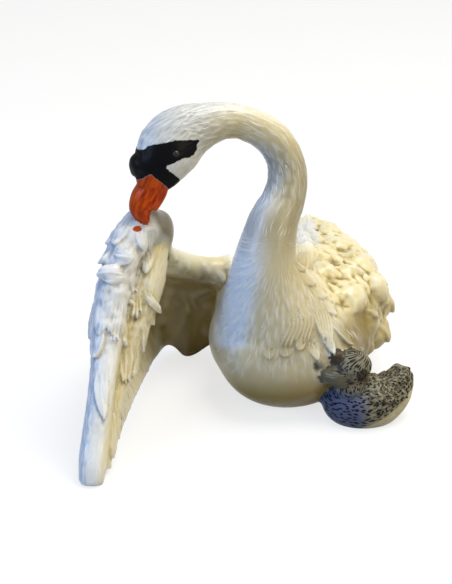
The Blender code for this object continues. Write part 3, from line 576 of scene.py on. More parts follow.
def cygnet(clay):
    """The cygnet: a plump body with a raised tail, and its head turned to the swan's flank."""
    clay.coat = "grey"
    c = CYGNET_HEIGHT
    clay.limb(stations(cygnet_place, c, c, (
        (-0.74, 0.06, 0.30, 0.15, 0.15),
        (-0.54, -0.10, 0.28, 0.33, 0.34),
        (-0.22, -0.16, 0.26, 0.40, 0.42),
        (0.08, -0.12, 0.33, 0.39, 0.45),
        (0.29, -0.04, 0.42, 0.31, 0.37),
        (0.43, 0.05, 0.58, 0.21, 0.28),
        (0.53, 0.12, 0.78, 0.12, 0.16))), (0, 1, 0), 30, 24)
    # the neck, pressed to the flank, and the head
    clay.limb(stations(cygnet_place, c, c, (
        (-0.24, -0.14, 0.30, 0.34, 0.36),
        (-0.38, -0.16, 0.58, 0.25, 0.27),
        (-0.40, -0.15, 0.86, 0.20, 0.22))), (0, 1, 0), 14, 20)
    clay.ball(cygnet_place(-0.33, -0.16, 1.00), (c * 0.29, c * 0.26, c * 0.26))
    clay.limb(stations(cygnet_place, c, c, (
        (-0.34, -0.20, 0.94, 0.20, 0.22),
        (-0.58, -0.26, 0.86, 0.16, 0.18),
        (-0.78, -0.24, 0.86, 0.12, 0.13),
        (-0.93, -0.18, 0.92, 0.06, 0.06))), (0, 1, 0), 16, 18)
    clay.ball(cygnet_place(-0.62, -0.16, 1.14), (c * 0.11, c * 0.10, c * 0.13))
    clay.coat = "down"


def breast_feathers(clay, skin):
    """Strands combed down from the neck, which end in points and crescents over the flank."""
    combs(clay, skin, trunk, [
        ([(-0.08, -0.33, 0.86), (-0.06, -0.36, 0.74), (-0.10, -0.38, 0.62)],
         [(0.02, -0.29, 0.90), (0.07, -0.33, 0.76), (0.04, -0.37, 0.60)], 7, 1.9, 0.8, 0.7),
        ([(0.03, -0.28, 0.92), (0.08, -0.32, 0.77), (0.12, -0.35, 0.63)],
         [(0.12, -0.24, 0.86), (0.17, -0.29, 0.72), (0.18, -0.35, 0.55)], 6, 1.9, 0.9, 0.9),
    ])
    arc = [trunk(*spot) for spot in ((0.02, -0.21, 1.00), (0.09, -0.23, 0.90), (0.18, -0.25, 0.79),
                                     (0.25, -0.29, 0.66), (0.28, -0.31, 0.56))]
    fan(clay, skin, trunk(-0.04, -0.24, 1.25), arc, 6, 8.0, 5.0, 1.1, 0.5)
    trails(clay, skin, trunk, 0.8, [
        ([(0.17, -0.28, 0.74), (0.23, -0.30, 0.64), (0.29, -0.31, 0.52)], 4.4, 1.8, 0.8),
        ([(0.12, -0.33, 0.68), (0.16, -0.34, 0.60), (0.20, -0.36, 0.51)], 4.0, 1.4, 0.7),
        ([(0.05, -0.36, 0.64), (0.08, -0.37, 0.57), (0.10, -0.38, 0.49)], 4.4, 0.8, 0.5),
        ([(0.03, -0.35, 0.70), (0.01, -0.37, 0.63), (-0.01, -0.38, 0.57)], 4.6, 0.9, 0.1),
        ([(-0.06, -0.37, 0.65), (-0.08, -0.38, 0.59), (-0.07, -0.39, 0.53)], 5.8, 0.4, 0.0),
        ([(-0.15, -0.37, 0.63), (-0.17, -0.38, 0.57), (-0.17, -0.39, 0.51)], 4.6, 0.4, 0.1),
    ])


def flank_feathers(clay, skin):
    """The folded wing's plumage: broad lapped lobes, loose ruffles, and rows toward its end."""
    trails(clay, skin, trunk, 0.0, [
        ([(0.22, -0.07, 0.84), (0.28, -0.13, 0.75), (0.31, -0.18, 0.65)], 16.0, 0.7, 0.0),
        ([(0.36, -0.05, 0.77), (0.41, -0.09, 0.66), (0.43, -0.12, 0.55)], 9.0, 1.5, 0.2),
        ([(0.41, 0.03, 0.78), (0.48, 0.01, 0.70), (0.52, 0.00, 0.60)], 8.0, 1.8, 0.3),
        ([(0.37, -0.14, 0.53), (0.42, -0.15, 0.43), (0.44, -0.14, 0.32)], 9.0, 1.0, 0.1),
        ([(0.48, -0.02, 0.52), (0.52, -0.03, 0.43), (0.53, -0.04, 0.32)], 8.5, 1.4, 0.1),
        ([(0.50, 0.09, 0.64), (0.55, 0.07, 0.55), (0.57, 0.06, 0.46)], 7.0, 2.0, 0.3),
        ([(0.44, 0.14, 0.79), (0.52, 0.12, 0.71), (0.56, 0.10, 0.62)], 8.0, 1.8, 0.2),
        ([(0.24, 0.05, 0.88), (0.32, 0.03, 0.84), (0.39, 0.01, 0.79)], 9.0, 1.3, 0.2),
        ([(0.15, -0.11, 0.88), (0.20, -0.13, 0.84), (0.24, -0.16, 0.78)], 8.0, 0.9, 0.3),
        ([(0.22, 0.19, 0.87), (0.30, 0.17, 0.85), (0.37, 0.13, 0.82)], 9.0, 1.5, 0.2),
        ([(0.14, 0.00, 0.90), (0.20, -0.03, 0.88), (0.26, -0.06, 0.84)], 7.0, 0.9, 0.4),
        ([(0.18, 0.28, 0.86), (0.27, 0.27, 0.83), (0.34, 0.25, 0.79)], 9.0, 1.5, 0.3),
        ([(0.42, 0.08, 0.38), (0.47, 0.06, 0.28), (0.46, 0.04, 0.18)], 8.0, 1.2, 0.2),
    ])
    # small ruffles, scattered over the top and the outer side
    for k in range(34):
        turn = math.radians(9 + 2.55 * k)
        root = trunk(0.15 + 0.40 * math.sin(turn), -0.11 + 0.22 * abs(noise(k + 0.2)),
                     0.52 + 0.36 * math.cos(turn))
        heading = (math.cos(turn), -0.9 + 0.8 * noise(k + 0.6), -math.sin(turn))
        lay(clay, skin, root, heading, 5.5 + 2.0 * noise(k), 4.4 + 1.4 * noise(k + 0.8),
            COVERT_LIFT * 0.28, 0.4)
    # how far along the trunk each row's arc is at its top and at its foot, count and length
    for top, foot, count, length in ((0.34, 0.21, 7, 12.0), (0.43, 0.33, 6, 13.0),
                                     (0.51, 0.44, 5, 14.0)):
        narrow = 1.13 - 0.9 * top
        arc = [trunk(x * narrow, top + (foot - top) * share, z)
               for share, x, z in ((0.0, 0.20, 0.86), (0.3, 0.34, 0.82), (0.6, 0.50, 0.70),
                                   (0.8, 0.58, 0.54), (0.9, 0.57, 0.34), (1.0, 0.49, 0.15))]
        fan(clay, skin, trunk(0.06, -0.115, 1.22), arc, count, length, 9.5, COVERT_LIFT * 0.6,
            0.3, 0.3)


def back_feathers(clay, skin):
    """The feathers of the back and of the flank under the open wing, in even rows."""
    for row in range(6):
        along = 0.08 + 0.085 * row
        arc = [trunk(-0.28, along, 0.81), trunk(-0.11, along + 0.02, 0.92),
               trunk(0.08, along, 0.92)]
        fan(clay, skin, trunk(0, -0.4, 0.85), arc, 4, 12.0, 10.0, 1.2, 0.3)
    for row in range(4):
        along = 0.13 + 0.115 * row
        arc = [trunk(-0.34, along, 0.75), trunk(-0.48, along, 0.5),
               trunk(-0.42, along, 0.13 + 0.07 * row)]
        fan(clay, skin, trunk(-0.42, -0.4, 0.5), arc, 4, 13.0, 10.0, 1.0, 0.4)


def tail_feathers(clay):
    """Long feathers side by side over the tail."""
    for k in range(-3, 4):
        root = trunk(0.125, 0.42, 0.68) + (1.8 * k, 0, -0.5 * abs(k))
        tip = root + (2.4 * k, TAIL_REACH - 1.3 * abs(k), 5.0 - 0.4 * abs(k))
        spine = [root + (tip - root) * t + (0, 0, 1.6 * math.sin(math.pi * t))
                 for t in np.linspace(0, 1, 8)]
        clay.feather(spine, [(0.06 * k, -0.3, 1.0)] * 8, 8.0, 1.2, 0.4, 2.6)


def wing_point(ribs, span, chord):
    """A point of the open wing's panel: 0 to 1 along the span and from the edge to the hem."""
    place = int(round(min(max(span, 0), 1) * 200))
    line = smooth_path([smooth_path([rib[k] for rib in ribs], 201)[place] for k in range(4)], 101)
    if chord <= 1:
        return line[int(round(chord * 100))]
    return line[-1] + (line[-1] - line[-6]) * (chord - 1) * 20


def wing_feathers(clay):
    """Rows of long feathers on both faces of the open wing, which sweep toward its tip."""
    ribs = wing_ribs()
    rows = [
        # face, first and last span, count, chord at root and tip, sweep, width and height
        (1, 0.16, 0.96, 14, 0.35, 0.93, 0.07, 9.0, 0.0),
        (1, 0.50, 0.90, 8, 0.18, 0.66, 0.07, 8.0, 0.4),
        (-1, 0.10, 0.96, 15, 0.30, 0.95, 0.07, 9.0, 0.1),
        (-1, 0.22, 0.84, 10, 0.10, 0.62, 0.07, 9.0, 0.6),
        (-1, 0.30, 0.78, 8, 0.02, 0.34, 0.06, 8.0, 1.0),
    ]
    for row, (face, first, last, count, start, end, sweep, width, above) in enumerate(rows):
        for k in range(count):
            seed = 7.1 * row + k
            span = first + (last - first) * (k + 0.3 * noise(seed)) / (count - 1)
            reach = end + (0.06 if end < 0.9 else 0.012) * noise(seed + 0.5)
            spine, ups = [], []
            for t in np.linspace(0, 1, 9):
                u, v = span + sweep * t, start + (reach - start) * t
                along = wing_point(ribs, u + 0.01, v) - wing_point(ribs, u - 0.01, v)
                down = wing_point(ribs, u, v + 0.02) - wing_point(ribs, u, v - 0.02)
                up = unit(np.cross(along, down)) * face
                stand = WING_THICKNESS * np.interp(3 * v, range(4), WING_TAPER) / 2 + above
                spine.append(wing_point(ribs, u, v) + up * (stand - 0.8 + 1.2 * t * (end < 0.9)))
                ups.append(up)
            clay.feather(spine, ups, width * (1 + 0.15 * noise(seed + 0.7)), 1.0, 0.5, above + 2.0)


def edge_feathers(clay, skin):
    """The thick coverts that the bill has ruffled at the wrist, and the lapped ones under them."""
    trails(clay, skin, from_wrist, 0.4, [
        ([(-9, -2, 6), (-12, -6, 2), (-14, -10, -3)], 6.0, 1.0, 0.3),
        ([(-13, -11, -3), (-15, -13, -6), (-17, -15, -9)], 5.0, 1.6, 0.2),
        ([(-5, -5, 6), (-8, -10, 3), (-11, -14, -1)], 6.0, 1.2, 0.2),
        ([(-13, -15, -4), (-8, -17, -5), (-3, -17, -6)], 7.0, 1.8, 0.0),
        ([(-4, -20, -11), (-9, -20, -11), (-15, -18, -12)], 8.4, 2.2, 0.0),
        ([(0, -8, 4), (0, -11, 0), (1, -12, -5)], 5.0, 1.6, 0.2),
        ([(3, -4, 3), (3, -7, -2), (3, -8, -7)], 5.0, 1.2, 0.4),
        ([(2, -8, -5), (2, -7, -10), (1, -8, -18)], 5.0, 1.6, 0.3),
        ([(-1, -12, -8), (-2, -16, -14), (-3, -18, -20)], 5.0, 1.0, 0.5),
        ([(0, -13, -19), (1, -13, -25), (3, -11, -31)], 3.6, 2.2, 0.6),
        ([(1, -11, -29), (2, -12, -33), (3, -12, -37)], 4.0, 1.6, 0.2),
        ([(-3, -20, -19), (-5, -23, -29), (-8, -27, -38)], 8.5, 1.6, 0.3),
        ([(-1, -16, -27), (-1, -18, -36), (-3, -21, -43)], 5.5, 1.0, 0.4),
        ([(-13, -21, -16), (-15, -27, -24), (-16, -31, -31)], 7.0, 1.0, 0.4),
        ([(-16, -29, -24), (-18, -32, -31), (-17, -35, -39)], 6.5, 1.8, 0.1),
        ([(-14, -34, -38), (-15, -41, -48), (-14, -48, -58)], 6.0, 0.8, 0.6),
    ])
    combs(clay, skin, from_wrist, [
        ([(-8, -22, -15), (-11, -26, -22), (-13, -31, -33)],
         [(-4, -20, -15), (-7, -24, -22), (-10, -29, -33)], 4, 2.2, 0.8, 0.6),
        ([(-3, -18, -15), (-3, -19, -22), (-4, -21, -30)],
         [(0, -15, -15), (-1, -17, -22), (-1, -18, -30)], 3, 1.8, 1.1, 0.6),
        ([(-7, -27, -35), (-8, -30, -42), (-8, -33, -51)],
         [(1, -14, -37), (0, -17, -45), (-5, -25, -51)], 7, 2.4, 1.2, 0.6),
    ])


def hollow_feathers(clay, skin):
    """In the open wing's hollow: ripples under the arm, two shafts and a broad feather."""
    fringe = [trunk(-0.75, -0.02, 0.83), trunk(-0.66, 0.03, 0.73), trunk(-0.55, 0.06, 0.70),
              trunk(-0.42, 0.08, 0.66)]
    fan(clay, skin, trunk(-0.73, 0.135, 1.12), fringe, 8, 6.5, 4.0, 1.0, 0.6, 0.3)
    trails(clay, skin, from_wrist, 0.0, [
        ([(11, 35, -42), (13, 39, -50), (16, 41, -59)], 1.8, 0.8, 0.8),
        ([(14.4, 35, -42), (16.4, 39, -50), (19.4, 41, -59)], 1.8, 0.8, 0.8),
        ([(7, 34, -36), (8, 36, -48), (5, 34, -62), (1, 30, -74)], 14.0, 1.0, 0.4),
    ])


def cygnet_feathers(clay, skin):
    """Short tufts over the cygnet's back and tail."""
    clay.coat = "grey"
    for out, deep, high in ((0.08, 0.02, 0.74), (0.24, 0.12, 0.78), (0.42, 0.18, 0.84),
                            (0.56, 0.22, 0.94)):
        arc = [cygnet_place(out, deep, high), cygnet_place(out + 0.04, -0.16, high - 0.04),
               cygnet_place(out + 0.04, -0.44, high - 0.24)]
        fan(clay, skin, cygnet_place(-0.56, 0, 0.64), arc, 3, 7.0, 6.0, 1.0, 0.5)
    clay.coat = "down"


def stand_flat(mesh):
    """Cuts the solid level with the ground, which leaves flat patches for it to stand on."""
    shape = bmesh.new()
    shape.from_mesh(mesh)
    cut = bmesh.ops.bisect_plane(shape, geom=shape.verts[:] + shape.edges[:] + shape.faces[:],
                                 dist=1e-4, plane_co=(0, 0, 0), plane_no=(0, 0, -1),
                                 clear_outer=True)
    rim = [g for g in cut["geom_cut"] if isinstance(g, bmesh.types.BMEdge)]
    bmesh.ops.holes_fill(shape, edges=rim, sides=0)
    bmesh.ops.triangulate(shape, faces=shape.faces[:])
    shape.to_mesh(mesh)
    shape.free()


def strokes(along, across, length, width, lean=0.3):
    """How deep short strokes of a modelling tool cut, 0 to 1, laid in loose rows along the flow."""
    deepest = np.zeros_like(along)
    middle = np.floor(across / width)
    for row in (middle - 1, middle, middle + 1):
        shift = length * noise(row, 3.7)
        centre = np.floor((along - shift) / length)
        for place in (centre - 1, centre, centre + 1):
            away = along - shift - (place + 0.5 + 0.2 * noise(row, place)) * length
            aside = across - (row + 0.5 + 0.3 * noise(row, place, 5.3)) * width
            aside = aside - lean * noise(row, place, 9.1) * away - 0.02 * away**2
            cut = np.exp(-(aside / (0.24 * width)) ** 2)
            cut = cut * np.clip(1 - (away / (0.5 * length)) ** 2, 0, 1)
            deepest = np.maximum(deepest, cut * (0.75 + 0.25 * noise(row, place, 2.2)))
    return deepest


def head_side(points):
    """Places in the plane of the head: forward of the bill's tip, and above it."""
    away = points - BILL_TIP
    return away @ np.array(FORE), away[:, 2]


def to_capsules(u, w, capsules):
    """How far flat places lie from capsules of u, w, radius to u, w, radius; less than 0 inside."""
    least = np.full(len(u), 99.0)
    for u0, w0, r0, u1, w1, r1 in capsules:
        du, dw = u1 - u0, w1 - w0
        t = np.clip(((u - u0) * du + (w - w0) * dw) / max(du * du + dw * dw, 1e-6), 0, 1)
        gap = np.hypot(u - u0 - t * du, w - w0 - t * dw) - (r0 + (r1 - r0) * t)
        least = np.minimum(least, gap)
    return least


def face_paint(points):
    """How far each point lies outside the black of the face, and outside the orange of the bill."""
    u, w = head_side(points)
    near = gap_to(points, from_bill(6.0, 4.0, 22.0)) < 27
    black = to_capsules(u, w, (
        (1.5, 22.8, 4.6, -2.5, 26.2, 3.6),
        (2.0, 20.5, 3.2, -1.1, 21.5, 3.0),
        (-1.1, 21.5, 3.0, -7.2, 15.7, 2.6),
        (-4.6, 27.4, 4.0, -11.0, 29.0, 3.6),
        (-11.0, 29.3, 3.4, -16.5, 29.0, 3.2),
        (-16.5, 29.4, 2.8, -20.6, 31.0, 0.5),
        (-16.0, 28.0, 2.4, -19.0, 28.4, 1.0),
        (-2.0, 22.0, 3.6, -6.5, 18.6, 3.0),
        (-6.5, 18.6, 3.0, -9.8, 15.6, 3.0)))
    under = (w - 14.7) * 0.70 - (u + 7.2) * 0.72
    left = (u + 1.1) * 0.78 + (w - 21.0) * 0.62
    orange = np.maximum(under, left)
    return np.where(near, black, 9.0), np.where(near, orange, 9.0)


def shape_arrays(mesh):
    """The points, normals and edges of a mesh."""
    points = np.zeros(3 * len(mesh.vertices))
    mesh.vertices.foreach_get("co", points)
    normals = np.zeros(3 * len(mesh.vertices))
    mesh.vertices.foreach_get("normal", normals)
    edges = np.zeros(2 * len(mesh.edges), int)
    mesh.edges.foreach_get("vertices", edges)
    return points.reshape(-1, 3), normals.reshape(-1, 3), edges.reshape(-1, 2)


def average(values, edges, rounds):
    """Each point's values averaged with those of its neighbours, over some rounds."""
    count = np.bincount(edges.ravel(), minlength=len(values))[:, None]
    for _ in range(rounds):
        total = np.zeros_like(values)
        for column in range(values.shape[1]):
            total[:, column] = (
                np.bincount(edges[:, 0], values[edges[:, 1], column], len(values))
                + np.bincount(edges[:, 1], values[edges[:, 0], column], len(values)))
        values = 0.5 * values + 0.5 * total / count
    return values


def along_line(points, start, end):
    """How far each point lies from a line between two places."""
    start, end = np.asarray(start, float), np.asarray(end, float)
    run = end - start
    share = np.clip((points - start) @ run / (run @ run), 0, 1)[:, None]
    return np.linalg.norm(points - start - share * run, axis=1)


def comb_flow(points, flows, coats):
    """The flow again, with the breast's turned so that it fans down from the throat."""
    throat = trunk(*THROAT)
    away = points - throat
    breast = (coats == "down") & (away[:, 2] < 0) & (points[:, 1] < 4) & (points[:, 0] > -42)
    turn = np.arctan2(away[:, 0], -away[:, 2])
    flows = flows.copy()
    flows[breast, 0] = np.linalg.norm(away, axis=1)[breast]
    flows[breast, 1] = 26 * turn[breast]
    return flows


def ramp(values, low, high):
    """0 at low to 1 at high."""
    return np.clip((values - low) / (high - low), 0, 1)


def folded(points):
    """How far each point belongs to the folded wing and the back behind it, 0 to 1."""
    x, y, z = points.T
    return ramp(x, 8, 12) * ramp(y, -27, -22) * ramp(z, 12, 17)


def hollow_side(points, normals):
    """How far each point faces the space between the open wing and the breast, 0 to 1."""
    x, y, z = points.T
    return (ramp(x, -66, -61) * ramp(x, -33, -36) * ramp(y, -3, 3) * ramp(z, 57, 52)
            * ramp(normals[:, 1], 0.4, 0.1))


def lumps(points, size):
    """Uneven lumps over the surface, -1 to 1."""
    cell = np.floor(points / size)
    part = points / size - cell
    part = part * part * (3 - 2 * part)
    total = 0.0
    for corner in np.ndindex(2, 2, 2):
        share = np.prod(np.where(corner, part, 1 - part), axis=1)
        total = total + share * noise(*(cell + corner).T)
    return total


def thumb_gap(points):
    """How far each point lies from the middle of the thumb."""
    return along_line(points, from_wrist(6, 5, 2), from_wrist(5, 12, -16))


def off_throat(points):
    """0 at the throat, where the strokes would crowd, to 1."""
    return ramp(gap_to(points, trunk(*THROAT)), 7, 18)


def smoothness(points, normals):
    """Where the casting was left smooth, 0 to 1: the low belly, thumb, arm and folded wing."""
    x, y, z = points.T
    belly = ramp(z, 32, 18) * (x > -46) * (x < 24) * (y < 10)
    thumb = ramp(thumb_gap(points), 11.5, 9.5)
    arm = ramp(normals[:, 2], 0, 0.5) * (np.abs(x + 40) < 16) * (y > 5)
    least = np.maximum(np.maximum(belly, thumb), 0.9 * arm)
    return np.maximum(least, np.maximum(folded(points), 0.85 * hollow_side(points, normals)))


def arm_side(points):
    """How far each point belongs to the arm and the hollow of the open wing, 0 to 1."""
    x, y, z = points.T
    return ramp(x, -64, -60) * ramp(x, -28, -33) * ramp(y, -5, 1) * ramp(z, 74, 70)


def melt(mesh, coats):
    """Softens the folded wing and the wing's hollow into the rounded lumps of the casting."""
    points, normals, edges = shape_arrays(mesh)
    soft = average(points, edges, 10)
    softer = average(soft, edges, 34)
    clay_like = ((coats != "grey") & (coats != "bill"))[:, None]
    fold = folded(points)[:, None] * clay_like
    arm = 0.9 * arm_side(points)[:, None] * clay_like
    points = points + fold * (soft - points)
    points = points + arm * (softer - points)
    clumps = ramp(points[:, 0], -56, -60) * ramp(points[:, 2], 40, 50)
    swell = 0.5 * clumps * lumps(points, 2.6) + folded(points) * (
        0.6 * lumps(points, 5.0) + 0.3 * lumps(points, 2.2))
    points = points + normals * (swell[:, None] * clay_like)
    mesh.vertices.foreach_set("co", points.ravel())
    mesh.update()


def carve(mesh, flows, coats):
    """Cuts the tool marks into the skin."""
    points, normals, _ = shape_arrays(mesh)
    flows = comb_flow(points, flows, coats)
    along, across = flows[:, 0], flows[:, 1]
    down, quill, dash = (strokes(along, across, *stroke)
                         for stroke in (DOWN_STROKE, QUILL_STROKE, DASH_STROKE))
    fine = strokes(along + 3.1, across + 0.7, *FINE_STROKE)
    head = gap_to(points, from_bill(8.0, 10.0, 24.0))
    depth = np.where(coats == "down", 0.10 * fine - 0.22 * down, 0.0)
    depth = np.where(coats == "vane", 0.20 * quill, depth)
    depth = np.where(coats == "grey", 0.45 * dash - 0.12 * fine, depth)
    depth = depth * np.clip((head - 9) / 8, 0.35, 1) * (1 - smoothness(points, normals))
    depth = depth * off_throat(points)
    depth = depth + 0.24 * fine * ramp(gap_to(points, from_wrist(*CROWN)), 13, 7)
    depth = depth * ramp(points[:, 2], 0.6, 2.1)
    mesh.vertices.foreach_set("co", (points - normals * depth[:, None]).ravel())
    mesh.update()


def mix(first, second, share):
    """Between two colours, by a share for each point."""
    share = np.clip(share, 0, 1)[:, None]
    return np.asarray(first) * (1 - share) + np.asarray(second) * share


def layer(ground, *coats):
    """The ground with coats over it, each a colour and its share for each point."""
    for colour, share in coats:
        ground = mix(ground, colour, share)
    return ground


def cygnet_paint(points, hollow):
    """The cygnet's grey down, the lines round its bill and neck, and where its dashes go."""
    x, _, z = points.T
    blue = ramp(z, 17, 13) * ramp(x, 29, 25)
    beak = along_line(points, cygnet_place(-0.58, -0.36, 0.84), cygnet_place(-0.93, -0.20, 0.92))
    beak = ramp(beak, 3.6, 2.4)
    below = ramp(7.4 + 0.6 * (x - 36) - z, 0, 1.2) * ramp(x, 22, 26)
    knob = ramp(gap_to(points, cygnet_place(-0.62, -0.18, 1.17)), 3.9, 3.2)
    lines = []
    # dark lines: one beside the cheek's ridge, and one filling the recess behind the cheek with
    # painted shade
    for start, end, width in (((-0.59, -0.31, 1.05), (-0.40, -0.38, 0.82), 1.5),
                              ((-0.22, -0.38, 0.95), (-0.20, -0.37, 0.90), 2.8)):
        line = along_line(points, cygnet_place(*start), cygnet_place(*end))
        lines.append((DOWN_DARK, (width - line) / 0.5))
    # painted highlights on the bulges and painted shade in the hollows; the blue low on the front
    # is painted blue light from the left
    colour = layer(DOWN_GREY, (DOWN_PAINTED_HIGHLIGHT, 0.55 - hollow / 0.10), (DOWN_PAINTED_BLUE_LIGHT, 0.9 * blue),
                   (BEAK_GREY, 0.9 * beak), (CYGNET_BASE, below), *lines, (KNOB_BROWN, knob))
    return colour, (1 - beak) * (1 - below) * (1 - knob)


def shade(points, normals, ground):
    """Painted shade: olive in the wing's hollow, tan down the breast, brown at the bottom."""
    x, y, z = points.T
    front = ramp(normals[:, 1], 0.3, -0.2) * (x > -46) * (x < 26) * (y < 6)
    start = np.interp(z, (24, 34, 57, 76, 100), (-40, -22, -17, -12, -8))
    breast = ramp(x - start, -2, 3) * ramp(x, 14, 4) * ramp(z, 84, 74)
    edge = 0.3 * ramp(x, -29, -33) * ramp(z, 52, 44)
    neck = ramp(z, 66, 80) * ramp(x, -38, -26) * (y < 4) * ramp(normals[:, 2], 0.8, 0.5)
    crown = ramp(gap_to(points, from_wrist(*CROWN)), 24, 10)
    inner = hollow_side(points, normals)
    deep = 0.15 + 0.47 * ramp(x, -55, -51) + 0.38 * ramp(z, 12, 4)
    shafts = [(CREAM, 0.6 * ramp(along_line(points, *shaft), 1.3, 0.4) * inner) for shaft in SHAFTS]
    flank = ramp(x, 13, 17) * ramp(y, -36, -31)
    gap = along_line(points, cygnet_place(-0.94, -0.30, 1.07), cygnet_place(-0.66, -0.31, 1.03))
    crack = np.minimum(*(along_line(points, *crack) for crack in CRACKS))
    return layer(
        ground,
        (TAN_PAINTED_SHADE, 0.85 * front * np.maximum(breast, edge)),
        (TAN_PAINTED_SHADE, 0.85 * neck * ramp(normals[:, 0], -0.6, 0.0)),
        # painted shade: grey on the neck and the crown
        (DOWN_GREY, 0.46 * neck * ramp(z, 112, 102) + 0.26 * crown),
        (OLIVE_PAINTED_SHADE, inner * deep * ramp(z, 50, 42)),
        *shafts,
        (OLIVE_PAINTED_SHADE, 0.93 * front * ramp(z, 27, 12)),
        (TAN_PAINTED_SHADE, 0.95 * flank * ramp(z, 43, 34)),
        # painted shade: a dark line in the gap between the cygnet's bill and the breast
        (DOWN_DARK, ramp(gap, 2.2, 1.5)),
        (OLIVE_PAINTED_SHADE, 0.95 * flank * ramp(x, 35, 28) * ramp(z, 43, 36)),
        # painted shade: a dark line along the crack in the flank
        (OLIVE_PAINTED_SHADE, 0.9 * ramp(crack, 1.0, 0.4) * (x > 12)))


def paint(mesh, flows, coats):
    """Writes the paint on the points: the ground colour, and distances to the crisp edges."""
    points, normals, edges = shape_arrays(mesh)
    flows = comb_flow(points, flows, coats)
    hollow = ((average(points, edges, 8) - points) * normals).sum(1)
    broad = ((average(points, edges, 60) - points) * normals).sum(1)
    x, y, z = points.T
    warm = ramp(x, -14, 8) * np.clip((y + 46) / 24, 0.3, 1)
    warm = np.maximum(warm, ramp(y, 2, 12) * ramp(x, -64, -58))
    # the open wing is white in front of this line and creamy behind it
    line = np.interp(z, (10, 38, 50, 66, 76), (-76, -71, -68, -61, -56))
    warm = np.maximum(warm, ramp(x - line, -0.5, 1.5) * (x < -40) * (z < 74))
    warm = np.maximum(warm, ramp(z, 24, 12) * (x > -46))
    neck = ramp(z, 66, 74) * ramp(x, -38, -22)
    # painted warm light from the right: the neck's right-facing side creamier
    warm = np.maximum(warm, 0.8 * ramp(normals[:, 0], -0.2, 0.5) * neck)
    rump = along_line(points, trunk(0.05, 0.2, 0.9), trunk(0.13, 0.51, 0.73))
    rump = ramp(rump, 11, 5) * (x < 12)
    clumps = ramp(x, -58, -61) * ramp(z, 92, 86)
    left = ramp(normals[:, 0], -0.1, -0.6) * ramp(x, -10, -14)
    still, thumb = smoothness(points, normals), thumb_gap(points)
    ground = layer(
        PEARL,
        # painted light from the left: left-facing sides whiter on the clumps and bluer elsewhere
        (PAINTED_HIGHLIGHT_WHITE, clumps * ramp(normals[:, 0], -0.6, -0.2)),
        (PAINTED_BLUE_LIGHT, left * (1 - 0.75 * ramp(x, -50, -46) * ramp(z, 82, 66))),
        (PAINTED_PALE_BLUE_LIGHT, 0.8 * left * ramp(x, -50, -46) * ramp(z, 80, 66)),
        (CREAM, 0.95 * warm * (1 - 0.85 * rump)),
        # painted shade on the open wing's inner panel behind the line
        (TAN_PAINTED_SHADE, 0.5 * ramp(x - line, 0, 3) * (x < -58) * (z < 62) * ramp(z, 28, 36)),
        # painted highlights: convex parts whiter
        (PAINTED_HIGHLIGHT_WHITE, -hollow / 0.10 * (0.35 - 0.2 * folded(points))),
        # painted light: the arm's top paler cream
        (ARM_PAINTED_LIGHT_CREAM, arm_side(points) * ramp(z, 46, 52) * ramp(thumb, 10, 13)))
    ridge = strokes(*flows.T, *DOWN_STROKE) * (coats == "down") * (1 - still) * off_throat(points)
    creases = hollow / 0.30 * (0.6 + 0.6 * folded(points))
    valleys = broad / 2.6 * 0.4 * (1 - arm_side(points) * (z > 46))
    ground = layer(
        shade(points, normals, ground),
        # painted highlights: the raised strokes of the down whiter
        (PAINTED_HIGHLIGHT_WHITE, 0.5 * ridge * (1 - 0.6 * warm)),
        # painted shade: olive in the creases and the broad hollows
        (OLIVE_PAINTED_SHADE, creases + valleys),
        # the thumb grey-brown: partly its own colour, partly painted shade from the head and the
        # bill
        (LOBE_BROWN_AND_PAINTED_SHADE, 0.9 * ramp(thumb, 10.5, 8.0) * (x > -59.5)))
    grey = coats == "grey"
    speckle = np.zeros(len(points))
    ground[grey], speckle[grey] = cygnet_paint(points[grey], hollow[grey])
    black, orange = face_paint(points)
    drip = gap_to((points - from_wrist(*DRIP)) * (0.75, 0.8, 1.3), 0) - 1.7
    clear = (coats != "bill") & (z < BILL_TIP[2] + 10)
    orange = np.minimum(np.where(clear, np.maximum(orange, 0.6), orange), drip)
    matte = np.maximum(0.8 * grey, 0.9 * ramp(z, 26, 14) * (x > -46))
    for name, values in (("black", black), ("orange", orange), ("speckle", speckle),
                         ("still", still), ("matte", matte),
                         ("along", flows[:, 0]), ("across", flows[:, 1])):
        stored = mesh.attributes.new(name, "FLOAT", "POINT")
        stored.data.foreach_set("value", values.astype(np.float32))
    colour = np.concatenate([ground, np.ones((len(points), 1))], axis=1)
    ground = mesh.attributes.new("ground", "FLOAT_COLOR", "POINT")
    ground.data.foreach_set("color", colour.astype(np.float32).ravel())


